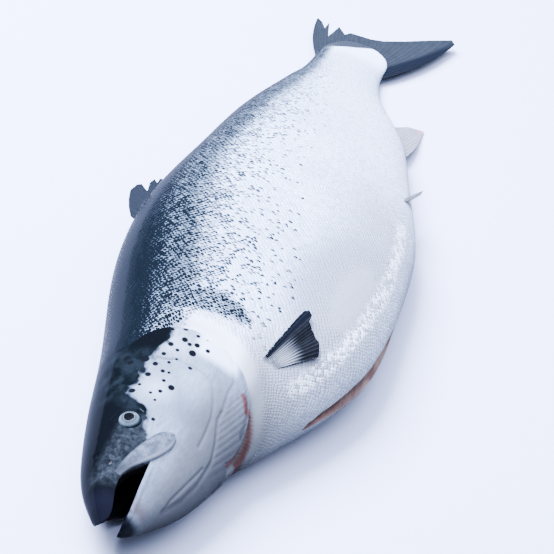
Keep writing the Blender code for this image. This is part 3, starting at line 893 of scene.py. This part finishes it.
# the lining's colour, its painted shade deeper in the mouth, and its mottling
mouthTones = {"lip": (0.06, 0.05, 0.05), "deep": (0.004, 0.0035, 0.0035), "mottled": (0.008, 0.006, 0.006)}
gillTones = {"dark": (0.14, 0.012, 0.018), "red": (0.33, 0.035, 0.045)}


def membraneShare(x, y):  # 1 on the ribbed membrane under the gill cover
    edge = lineHeight(x, np.vstack([membraneEdge[::-1], membraneEnd]))
    return smoothStep((edge - y) / 0.003) * above(x, 0.085, 0.02)


def ribWave(x, y):
    return np.abs(np.sin(np.pi * (y + folds["slope"] * x) / folds["pitch"]))


def headRelief(x, y):
    relief = np.zeros(np.broadcast(x, y).shape)
    edge = np.where(x > cover["x"], -beyondRim(x, y), 1.0)
    relief -= 0.0016 * (1 - smoothStep(edge / 0.006)) * under(y, 0.035, 0.02)
    for line, depth, width, *_ in headLines:
        relief -= depth * ridgeAt(distanceToLine(x, y, line), width)
    relief += folds["depth"] * (ribWave(x, y) - 0.6) * membraneShare(x, y)
    fromEye = np.hypot(x - eye["x"], y - eye["y"])
    relief += 0.0009 * ridgeAt(fromEye - 0.0118, 0.0022)
    for spotX, spotY in nostrils:
        relief -= 0.0016 * ridgeAt(np.hypot(x - spotX, y - spotY), 0.0016)
    mouthRim = np.minimum(np.abs(y - naturalSpline(mouth["x"], mouth["lower"])(x)), 0.01)
    relief += 0.0006 * ridgeAt(mouthRim - 0.0025, 0.0018) * under(x, 0.06, 0.01) * (y < -0.005)
    return relief * above(x, -0.004, 0.01)


def headSolid():
    lengthwise = np.linspace(0.004, 1, skull["rings"]) ** 1.12
    xs = form["snoutTip"] + (skull["end"] - form["snoutTip"]) * lengthwise
    left = np.linspace(0, np.pi, skull["leftAround"] + 1)[:-1]
    right = np.linspace(np.pi, 2 * np.pi, skull["rightAround"] + 1)[:-1]
    x, angle = xs[:, None], np.concatenate([left, right])[None]
    skin = skinPoint(x, angle)
    relief = headRelief(skin[..., 0], skin[..., 1])
    head = loftSolid("headSkin", layDown(skinPoint(x, angle, -relief)))
    rim = arcPoints((cover["x"], cover["y"]), cover["radius"], -115, 62, 170)
    front = [(0.167, 0.12), (-0.05, 0.12), (-0.05, -0.16), (rim[0][0], -0.16)]
    combine(head, outlinePrism("coverOutline", np.vstack([rim, front]), -0.09, 0.09), "INTERSECT")
    combine(head, gillGap(), "DIFFERENCE")
    combine(head, mouthGape(), "DIFFERENCE")
    combine(head, throatHollow(), "DIFFERENCE")
    for side in (1, -1):
        socket = ballObject("socket", eyeCentre(side), eye["radius"] * forkLength + eye["gap"], 64, 40)
        combine(head, socket, "DIFFERENCE")
    dropCrumbs(head)
    return head


def gillGap():
    xs, angles = np.linspace(0.095, 0.225, 60), np.linspace(0, 2 * np.pi, 181)[:-1]
    gap = loftSolid("gillGap", layDown(skinPoint(xs[:, None], angles[None], cover["thick"])))
    inner = arcPoints((cover["x"], cover["y"]), cover["radius"] - cover["free"], -140, 28, 60)
    outer = arcPoints((cover["x"], cover["y"]), cover["radius"] + 0.03, 28, -140, 60)
    combine(gap, outlinePrism("gapOutline", np.vstack([inner, outer]), -0.08, 0.08), "INTERSECT")
    return gap


def mouthGape():
    xs = np.linspace(mouth["x"][0], mouth["x"][-1], 70)
    upper = naturalSpline(mouth["x"], mouth["upper"])(xs)
    lower = naturalSpline(mouth["x"], mouth["lower"])(xs)
    across = np.linspace(-0.045, 0.045, 31)
    rings = []
    for x, top, base in zip(xs, upper, lower):
        curl = 0.008 * under(across, 0.006, 0.016) * under(x, 0.026, 0.026)  # rounds the snout's lip
        rings.append([(x, top + c, z) for z, c in zip(across, curl)] + [(x, base, z) for z in across[::-1]])
    return loftSolid("mouthGape", layDown(rings, flat=False))


def throatHollow():
    throat = ballObject("throat", (0, 0, 0), 1.0, 48, 30)
    points = meshPoints(throat.data) * mouth["throatRadii"] + mouth["throatCentre"]
    throat.data.vertices.foreach_set("co", layDown(points, flat=False).ravel())
    return throat


def eyeCentre(side):
    return layDown(flankPoint(eye["x"], eye["y"], side, -eye["sunk"]))


def ballObject(name, centre, radius, around, rows):
    polar, turn = np.linspace(0, np.pi, rows + 1)[1:-1], np.linspace(0, 2 * np.pi, around + 1)[:-1]
    out, up = np.sin(polar)[:, None], np.cos(polar)[:, None]
    ring = np.stack(np.broadcast_arrays(out * np.cos(turn), out * np.sin(turn), up), -1)
    thing = loftSolid(name, ring * radius + np.asarray(centre, float))
    points = meshPoints(thing.data)
    points[-2:] = np.asarray(centre, float) + np.array(((0, 0, radius), (0, 0, -radius)))
    thing.data.vertices.foreach_set("co", points.ravel())
    return thing


def headMaterial():
    tones, paint = headTones, Paint("headSkin", headTones["dull"])
    fine, broad = paint.noise(220, 4, 0.6), paint.noise(22, 3)
    paint.coat(broad.fade(0.35, 0.68), tones["bright"])
    paint.coat(fine.fade(0.5, 0.8) * 0.25, tones["grain"])
    paint.coat(paint.noise(520, 4, 0.65, (0.22, 1, 1)).fade(0.35, 0.68) * 0.55, tones["silk"])
    # painted shade on the lower cheek and in the folds, then the paler parts of the cheek
    for zone in ("cheekShade", "foldShade", "paleShade"):
        paint.coat(zone, headZones[zone])
    crown = (paint.read("crownEdge") + (paint.noise(150, 4) - 0.5) * 0.016).fade(-0.003, 0.0032)
    teal = paint.blend(paint.noise(70, 4, 0.6).fade(0.4, 0.62), *tones["teal"])
    snout = paint.blend(paint.noise(260, 4, 0.65).fade(0.35, 0.75), *tones["snout"])
    paint.coat(crown, paint.blend("snoutShade", paint.blend("tealShade", tones["crown"], teal), snout))
    paint.coat(1.0 - paint.read("spotEdge").fade(-0.0006, 0.0006), tones["spots"])
    for zone in ("tipShade", "rust", "coverRed"):
        paint.coat(zone, headZones[zone])
    bump = paint.bump(0.25, 0.0006, fine)
    rough = (0.18 + broad * 0.18) * (1.0 - crown * tones["wetness"])
    return paint.done(
        Normal=bump, Roughness=rough, Specular_IOR_Level=0.1, Sheen_Weight=0.4, Sheen_Roughness=0.11
    )


def mouthMaterial():
    paint = Paint("mouthLining", mouthTones["lip"])
    # painted shade: the lining darker the deeper it lies in the mouth
    paint.coat(paint.read("depth").fade(0.0006, 0.0035), mouthTones["deep"])
    paint.coat(paint.noise(140, 4).fade(0.45, 0.7) * 0.4, mouthTones["mottled"])
    return paint.done(Roughness=0.4)


def gillMaterial():
    paint = Paint("gillLining", gillTones["dark"])
    paint.coat(paint.noise(150, 3).fade(0.4, 0.65), gillTones["red"])
    return paint.done(Roughness=0.3, Coat_Weight=0.4)


def dressHead(thing, materials):
    mesh = thing.data
    place = fishPlace(meshPoints(mesh))
    x, y, z = np.moveaxis(place, -1, 0)
    overCrown = y - lineHeight(x, crownLine)
    spotEdge = np.full(len(x), 1.0)
    dots = [(*spot, size * skull["spotGrowth"]) for *spot, size in roundSpots]
    for spotX, spotY, radius in dots + [(*spot, skull["nostril"]) for spot in nostrils]:
        spotEdge = np.minimum(spotEdge, np.hypot(x - spotX, y - spotY) - radius)
    teal = smoothStep(insideOutline(x, y, tealPatch) / 0.012 + 0.5)
    nearCheek = 1 - smoothStep(overCrown / 0.006)
    # painted shade in the creases between the membrane's ribs and along the grooves
    line = folds["shade"] * (1 - ribWave(x, y)) ** 2 * membraneShare(x, y)
    for points, _, _, shade, width in headLines:
        if points is preopercle:
            shade = shade + 0.6 * above(y, 0.004, 0.01)
        line = np.maximum(line, shade * ridgeAt(distanceToLine(x, y, points), width))
    pale = above(x, 0.176, 0.012) * under(y, 0.006, 0.014) * above(y, -0.046, 0.01)
    for spotX, spotY, reach, share in paleAreas:
        pale = np.maximum(pale, share * ridgeAt(np.hypot(x - spotX, y - spotY), reach))
    upperTip, lowerTip = under(x, 0.026, 0.014) * (y > 0.0), under(x, 0.0125, 0.009) * (y <= 0.0)
    strip = np.minimum(*(distanceToLine(x, y, line) for line in gillStrips))
    setAttributes(
        mesh,
        crownEdge=overCrown,
        spotEdge=spotEdge,
        tealShade=np.maximum(0.9 * teal, 0.5 * nearCheek * above(x, 0.09, 0.01)),
        snoutShade=under(x, 0.098, 0.012) * above(x, 0.02, 0.012) * (1 - above(y, 0.02, 0.012)),
        # painted shade in the folds and grooves
        foldShade=line,
        # painted shade: the lower cheek and jaw darker, where they face away from the light
        cheekShade=0.8 * under(y, -0.01, 0.024) * (1 - 0.75 * above(x, 0.14, 0.05)),
        paleShade=pale,
        tipShade=np.maximum(upperTip * 0.9, lowerTip * 0.97),
        rust=0.6 * ridgeAt(x - 0.017, 0.006) * under(y, -0.01, 0.004) * above(y, -0.03, 0.01),
        coverRed=0.95 * (1 - above(strip, 0.0012, 0.0026)),
        depth=skinDepth(place),
    )

    def choose(spots):
        x, y, z = spots.T
        deep = skinDepth(spots)
        lining = (deep > 0.001) & (x < 0.093) & (np.abs(y) < 0.02)
        return np.where(lining, 1, np.where((deep > 0.0024) & (x > 0.093), 2, 0))

    splitMaterials(mesh, materials, choose)
    smoothWithEdges(mesh, 0.7)


head = headSolid()
dressHead(head, (headMaterial(), mouthMaterial(), gillMaterial()))
print("head:", len(head.data.vertices), "points")

# Jaw plates beside the mouth
plate = {"width": 0.0085, "thick": 0.0044, "raise": 0.0026, "sunk": 0.0014}
plateTones = {
    "dull": (0.06, 0.068, 0.074),
    "bright": (0.135, 0.15, 0.16),
    "upperEdge": (0.26, 0.27, 0.27),
    # painted shade along the lower edge and towards the front
    "lowerEdge": (0.016, 0.018, 0.019),
    "front": (0.022, 0.024, 0.025),
}
plateLine = milli(0, 34, 10, 300, 50, 4, 600, 67, -5, 850, 82, -12, 1000, 91, -16.5, columns=3)


def alongPoints(points):
    share, x, y = zip(*points)
    curveX, curveY = naturalSpline(share, x), naturalSpline(share, y)
    return lambda t: np.array((curveX(t), curveY(t)))


def straightPoints(points):
    share, x, y = zip(*points)
    return lambda t: np.array((np.interp(t, share, x), np.interp(t, share, y)))


def sheetSolid(name, grid, halfThickness):  # closed sheet about a grid, thin where the second array says
    grid = np.asarray(grid, float)
    rows, columns = grid.shape[:2]
    normal = np.cross(np.gradient(grid, axis=0), np.gradient(grid, axis=1))
    normal /= np.maximum(np.linalg.norm(normal, axis=-1, keepdims=True), 1e-12)
    offset = normal * np.broadcast_to(halfThickness, (rows, columns))[..., None]
    points = np.concatenate([(grid + offset).reshape(-1, 3), (grid - offset).reshape(-1, 3)])
    points[:, 2] = np.maximum(points[:, 2], 0.0)
    count = rows * columns
    faces = gridFaces(rows, columns).tolist()
    faces += gridFaces(rows, columns, start=count)[:, ::-1].tolist()
    border = [(i, 0) for i in range(rows)] + [(rows - 1, j) for j in range(1, columns)]
    border += [(i, columns - 1) for i in range(rows - 2, -1, -1)] + [(0, j) for j in range(columns - 2, 0, -1)]
    index = [i * columns + j for i, j in border]
    for one, two in zip(index, index[1:] + index[:1]):
        faces.append((one, two, two + count, one + count))
    thing = meshObject(name, points, faces)
    if signedVolume(thing.data) < 0:
        thing.data.flip_normals()
    return thing


def jawPlate(side, material):
    middle = alongPoints(plateLine)
    grid, half = [], []
    across, ts = np.linspace(-1, 1, 21), np.linspace(0, 1, 70)
    for t in ts:
        spot = middle(t)
        heading = middle(min(1, t + 0.02)) - middle(max(0, t - 0.02))
        normal = np.array((-heading[1], heading[0])) / np.hypot(*heading)
        rounding = math.sqrt(1.0008 - max(0, (t - 0.75) / 0.25) ** 2)
        width = plate["width"] * (0.35 + 0.65 * above(t, -0.1, 0.8)) * rounding
        lift = plate["raise"] * above(t, -0.05, 0.3) - plate["sunk"]
        lifts = [lift * (1 - 0.6 * s**2) - 0.0006 * math.cos(2.2 * s) for s in across]
        grid.append([flankPoint(*(spot + normal * width * s), side, rise) for s, rise in zip(across, lifts)])
        half.append(plate["thick"] / 2 * forkLength * np.sqrt(np.clip(1.02 - np.abs(across) ** 3, 0, 1)))
    thing = sheetSolid("jawPlateLeft" if side > 0 else "jawPlateRight", layDown(grid), np.array(half))
    mesh = thing.data
    setAttributes(mesh, along=np.tile(np.repeat(ts, len(across)), 2), cross=np.tile(across, 2 * len(ts)))
    mesh.materials.append(material)
    smoothWithEdges(mesh, 1.0)
    return thing


def plateMaterial():
    paint = Paint("jawPlateSkin", plateTones["dull"])
    cross, along = paint.read("cross"), paint.read("along")
    streaks = paint.noise(260, 4, 0.6)
    paint.coat(streaks.fade(0.35, 0.7), plateTones["bright"])
    paint.coat((cross + streaks * 0.3).fade(-0.35, -0.75), plateTones["upperEdge"])
    # painted shade along the plate's lower edge and towards its front
    paint.coat(cross.fade(0.55, 1.0) * 0.7, plateTones["lowerEdge"])
    paint.coat(along.fade(0.55, 0.0) * 0.85, plateTones["front"])
    bump = paint.bump(0.2, 0.0005, streaks)
    return paint.done(Normal=bump, Roughness=0.3, Metallic=0.15, Coat_Weight=0.3, Coat_Roughness=0.14)


plateSkin = plateMaterial()
jawPlates = [jawPlate(side, plateSkin) for side in (1, -1)]
print("jaw plates made")


# Eyes: colours from the middle of the pupil outwards
eyeRings = (
    (0.00, (0.0012, 0.0012, 0.0012)),
    (0.4, (0.002, 0.002, 0.002)),
    (0.45, (0.1, 0.115, 0.11)),
    (0.51, (0.025, 0.033, 0.034)),
    (0.6, (0.06, 0.08, 0.083)),
    (0.71, (0.115, 0.145, 0.15)),
    (0.79, (0.03, 0.043, 0.045)),
    (0.87, (0.004, 0.006, 0.0065)),
    (1.00, (0.0015, 0.002, 0.002)),
)


def eyeMaterial():
    paint = Paint("eye")
    ring = paint.read("ring") + (paint.noise(420, 3) - 0.5) * 0.16
    ramp = addNode(paint.tree, "ShaderNodeValToRGB", {"Fac": ring})
    while len(ramp.color_ramp.elements) < len(eyeRings):
        ramp.color_ramp.elements.new(0.5)
    for element, (position, colour) in zip(ramp.color_ramp.elements, eyeRings):
        element.position = position
        element.color = (*colour, 1)
    paint.colour = Value(paint.tree, ramp.outputs[0])
    streaks = paint.noise(900, 3).fade(0.35, 0.75)
    paint.coat(streaks * (ring.fade(0.44, 0.5) * 0.35), eye["streaks"])
    return paint.done(Roughness=0.22, Coat_Weight=1.0, Coat_Roughness=0.03)


def eyeball(side, material):
    centre = eyeCentre(side)
    outer = layDown(flankPoint(eye["x"], eye["y"] + 0.001, side, 0.02))
    axis = (outer - centre) / np.linalg.norm(outer - centre)
    radius = eye["radius"] * forkLength
    thing = ballObject("eyeballLeft" if side > 0 else "eyeballRight", (0, 0, 0), radius, 72, 54)
    turn = np.array(Vector((0, 0, 1)).rotation_difference(Vector(axis)).to_matrix())
    points = meshPoints(thing.data)
    fromAxis = np.hypot(points[:, 0], points[:, 1]) / radius
    ahead = points[:, 2] > 0
    points[:, 2] -= np.where(ahead, 0.1 * radius * (1 - smoothStep(fromAxis / 0.8)), 0)
    setAttributes(thing.data, ring=np.where(ahead, fromAxis, 1.0))
    thing.data.vertices.foreach_set("co", (points @ turn.T + centre).ravel())
    thing.data.materials.append(material)
    thing.data.shade_smooth()
    return thing


eyeSkin = eyeMaterial()
eyeballs = [eyeball(side, eyeSkin) for side in (1, -1)]
print("eyes made")


# Fins: membranes with rays laid over them by Geometry Nodes
finTones = {  # the skin, its darker and lighter streaks, and where it thins out
    "slateFin": ((0.0175, 0.0198, 0.021), (0.0125, 0.0145, 0.0155), (0.026, 0.0285, 0.03), (0.22, 0.24, 0.26)),
    "blackFin": ((0.006, 0.0062, 0.0065), (0.0035, 0.0036, 0.004), (0.03, 0.032, 0.033), (0.22, 0.22, 0.21)),
    "paleFin": ((0.22, 0.21, 0.2), (0.155, 0.145, 0.14), (0.31, 0.3, 0.28), (0.33, 0.15, 0.14)),
    "edge": (0.003, 0.004, 0.006),
    "ray": (0.006, 0.0065, 0.007),
    "rayFleck": (0.2, 0.21, 0.22),
}


def rayTree():
    tree = bpy.data.node_groups.new("finRays", "GeometryNodeTree")
    fields = {
        name: tree.interface.new_socket(name, in_out="INPUT", socket_type="NodeSocket" + kind)
        for name, kind in (("Geometry",) * 2, ("Ray radius", "Float"), ("Ray sides", "Int"), ("Finish", "Material"))
    }
    fields["Ray radius"].default_value, fields["Ray sides"].default_value = 0.0004, 5
    tree.interface.new_socket("Geometry", in_out="OUTPUT", socket_type="NodeSocketGeometry")

    def made(kind, inputs=None, output=0, **properties):
        return addNode(tree, kind, inputs, **properties).outputs[output]

    source = addNode(tree, "NodeGroupInput").outputs
    taper = made("GeometryNodeInputNamedAttribute", {"Name": "taper"}, data_type="FLOAT")
    curves = made("GeometryNodeMeshToCurve", {"Mesh": source["Geometry"]})
    width = made("ShaderNodeMath", {0: taper, 1: source["Ray radius"]}, operation="MULTIPLY")
    sized = made("GeometryNodeSetCurveRadius", {"Curve": curves, "Radius": width})
    circle = {"Resolution": source["Ray sides"], "Radius": 1.0}
    profile = made("GeometryNodeCurvePrimitiveCircle", circle, "Curve")
    tubes = addNode(tree, "GeometryNodeCurveToMesh", {"Curve": sized, "Profile Curve": profile, "Fill Caps": True})
    if "Scale" in tubes.inputs:
        tree.links.new(made("GeometryNodeInputRadius"), tubes.inputs["Scale"])
    whole = made("GeometryNodeRealizeInstances", {"Geometry": tubes.outputs[0]})
    painted = made("GeometryNodeSetMaterial", {"Geometry": whole, "Material": source["Finish"]})
    addNode(tree, "NodeGroupOutput", {"Geometry": painted})
    return tree, {name: field.identifier for name, field in fields.items()}


def rayTubes(name, lines, tapers, radius, material):
    points = np.concatenate(lines)
    edges, start = [], 0
    for line in lines:
        edges += [(start + i, start + i + 1) for i in range(len(line) - 1)]
        start += len(line)
    mesh = bpy.data.meshes.new(name)
    mesh.from_pydata(points.tolist(), edges, [])
    setAttributes(mesh, taper=np.concatenate(tapers))
    thing = placeObject(name, mesh)
    step = thing.modifiers.new("rays", "NODES")
    step.node_group = rayGroup
    step[rayInputs["Ray radius"]] = radius
    step[rayInputs["Finish"]] = material
    bakeModifiers(thing)
    thing.data.shade_smooth()
    return thing


def finMaterial(name):
    base, dark, light, clear = finTones[name]
    paint = Paint(name, base)
    streaks = paint.noise(300, 4, 0.6)
    paint.coat(streaks.fade(0.3, 0.7), dark)
    paint.coat(paint.read("rayWave").fade(0.55, 1.0) * 0.5, light)
    paint.coat("paleShare", clear)
    paint.coat("darkShare", finTones["edge"])
    bump = paint.bump(0.3, 0.0004, streaks)
    return paint.done(Normal=bump, Roughness=0.42, Specular_IOR_Level=0.1)


def rayMaterial():
    paint = Paint("fleckedRay", finTones["ray"])
    paint.coat(paint.noise(420, 4, 0.7).fade(0.5, 0.62), finTones["rayFleck"])
    return paint.done(Roughness=0.45)


def finPiece(name, surface, rows, steps, rays, thick, skin, raySkin, shades):
    ts, ss = np.linspace(0, 1, rows), np.linspace(0, 1, steps)
    grid = layDown([[surface(t, s) for s in ss] for t in ts])
    wave = np.abs(np.sin(np.pi * ts * rays))[:, None] * np.ones(steps)[None]
    half = (thick[0] + (thick[1] - thick[0]) * ss)[None] * (0.6 + 0.4 * (1 - wave)) / 2
    thing = sheetSolid(name, grid, half)
    pale, dark = shades(ts[:, None] * np.ones(steps), ss[None] * np.ones((rows, 1)))
    zones = {"rayWave": 1 - wave, "paleShare": pale, "darkShare": dark}
    setAttributes(thing.data, **{label: np.tile(np.ravel(values), 2) for label, values in zones.items()})
    thing.data.materials.append(skin)
    smoothWithEdges(thing.data, 1.2)
    shares = np.linspace(0.02, 0.97, 14)
    lines = []
    for t in np.arange(rays + 1) / rays:
        line = layDown([surface(t, s) for s in shares])
        line[:, 2] = np.maximum(line[:, 2], 0.0006)
        lines.append(line)
    return [thing, rayTubes(name + "Rays", lines, [1.0 - 0.65 * shares] * len(lines), thick[0] * 0.42, raySkin)]


def medianSurface(roots, tips, bow=lambda t: 0.0, sway=lambda t, s: 0.0):
    roots, tips = straightPoints(roots), straightPoints(tips)

    def surface(t, s):
        root, tip = roots(t), tips(t)
        normal = np.array((-(tip - root)[1], (tip - root)[0]))
        spot = root + (tip - root) * s + normal * bow(t) * s * (1 - s)
        return (spot[0], spot[1], sway(t, s))

    return surface


def flankSurface(roots, tips, side, rise):
    roots, tips = straightPoints(roots), straightPoints(tips)

    def surface(t, s):
        root, tip = roots(t), tips(t)
        return flankPoint(*(root + (tip - root) * s), side, rise(t, s))

    return surface


rayGroup, rayInputs = rayTree()
slateFin, blackFin, paleFin = (finMaterial(name) for name in ("slateFin", "blackFin", "paleFin"))
fleckedRay = rayMaterial()


def makeFins():
    made = []
    roots = milli(0, 900, 34, 300, 935, 22, 600, 945, -14, 1000, 905, -30, columns=3)
    tips = milli(
        0, 1003, 60, 100, 996, 53, 150, 984, 47, 190, 1001, 45.5, 230, 966, 39, 300, 998, 33, 380, 984, 23,
        420, 992, 18, 550, 993, -6, 650, 998, -20, 750, 1014, -42, 880, 1036, -68, 970, 1054, -91, 1000, 1046, -96,
        columns=3,
    )
    surface = medianSurface(roots, tips, lambda t: 0.22 * (0.5 - t) * 2)
    # the second share darkens the lower lobe's lower edge: its own dark rim with painted shadow under the folded lobe
    shades = lambda t, s: (
        0.3 * (1 - above(s, 0.1, 0.12)) * (1 - above(t, 0.7, 0.2)),
        0.95 * above(t - 0.15 * s, 0.82, 0.05),
    )
    made += finPiece("tailFin", surface, 241, 40, 30, (0.0021, 0.0006), slateFin, slateFin, shades)

    roots = milli(0, 388, 96, 1000, 470, 89, columns=3)
    tips = milli(
        0, 392, 109, 100, 405, 115, 200, 417, 119, 320, 432, 122.2, 420, 446, 120, 480, 451, 116.5, 540, 442, 108,
        660, 459, 110.5, 760, 469, 108.8, 820, 465, 104.5, 920, 474, 104.5, 1000, 477, 99, columns=3,
    )
    surface = medianSurface(roots, tips)
    shades = lambda t, s: (0.2 * (1 - above(s, 0.25, 0.25)), 0.5 + 0.1 * s)
    made += finPiece("dorsalFin", surface, 141, 20, 12, (0.0018, 0.0006), slateFin, slateFin, shades)

    roots = milli(0, 728, -91, 1000, 808, -66, columns=3)
    tips = milli(0, 800, -103.5, 250, 843, -103.5, 400, 842, -98.5, 1000, 838, -86, columns=3)
    surface = medianSurface(roots, tips, lambda t: -0.1 * (1 - t))
    shades = lambda t, s: (above(s, 0.86, 0.1) * under(t, 0.55, 0.3), 0.0 * s)
    made += finPiece("analFin", surface, 81, 24, 10, (0.0017, 0.0005), paleFin, paleFin, shades)

    roots = milli(0, 790, 50, 1000, 806, 47, columns=3)
    tips = milli(0, 803, 57.5, 500, 818, 57, 1000, 820, 51, columns=3)
    surface = medianSurface(roots, tips, sway=lambda t, s: -0.016 * s)
    shades = lambda t, s: (0.0 * s, 0.3 + 0.0 * s)
    made += finPiece("adiposeFin", surface, 33, 14, 4, (0.0026, 0.001), slateFin, slateFin, shades)

    for side, name in ((1, "Left"), (-1, "Right")):
        roots = milli(0, 214, -56, 1000, 216, -69, columns=3)
        tips = milli(
            0, 290, -70.5, 80, 294.5, -74.5, 140, 291, -78.5, 200, 282, -78, 300, 279.5, -81.2, 400, 277, -83.5,
            520, 275.2, -86.8, 650, 272, -89.5, 750, 270, -93, 850, 265, -95, 1000, 257, -97.5, columns=3,
        )
        surface = flankSurface(roots, tips, side, lambda t, s: -0.0012 + 0.0052 * s + 0.0008 * math.sin(9 * t) * s)
        shades = lambda t, s: (
            under(s - 0.05 * np.sin(70 * t), 0.66, 0.42) * above(t, 0.14, 0.26),
            0.7 * under(t, 0.2, 0.12),
        )
        made += finPiece("pectoralFin" + name, surface, 161, 34, 13, (0.002, 0.0006), blackFin, fleckedRay, shades)

        roots = milli(0, 588, -109, 1000, 604, -118, columns=3)
        tips = milli(0, 647, -126.2, 500, 651.5, -128, 1000, 640, -127.2, columns=3)
        inner = float(flankHeight(0.596, -0.114)) - 0.0015
        surface = medianSurface(
            roots, tips, sway=lambda t, s, side=side, inner=inner: side * (inner + (0.021 - inner) * s)
        )
        shades = lambda t, s: (0.0 * s, 0.25 * s)
        made += finPiece("pelvicFin" + name, surface, 49, 24, 6, (0.0019, 0.0006), paleFin, paleFin, shades)
    return made


fins = makeFins()
print("fins made:", len(fins), "pieces")

# Everything rides on the one body and stands for its solid
for piece in [trunk, head] + jawPlates + fins:
    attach(piece, "root")
    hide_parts("salmon")
for piece, node in zip(eyeballs, ("eye_left", "eye_right")):
    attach(piece, "root")
    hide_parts(node)

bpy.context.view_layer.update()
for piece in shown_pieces():
    print(piece.name, sum(len(face.vertices) - 2 for face in piece.data.polygons), "triangles")
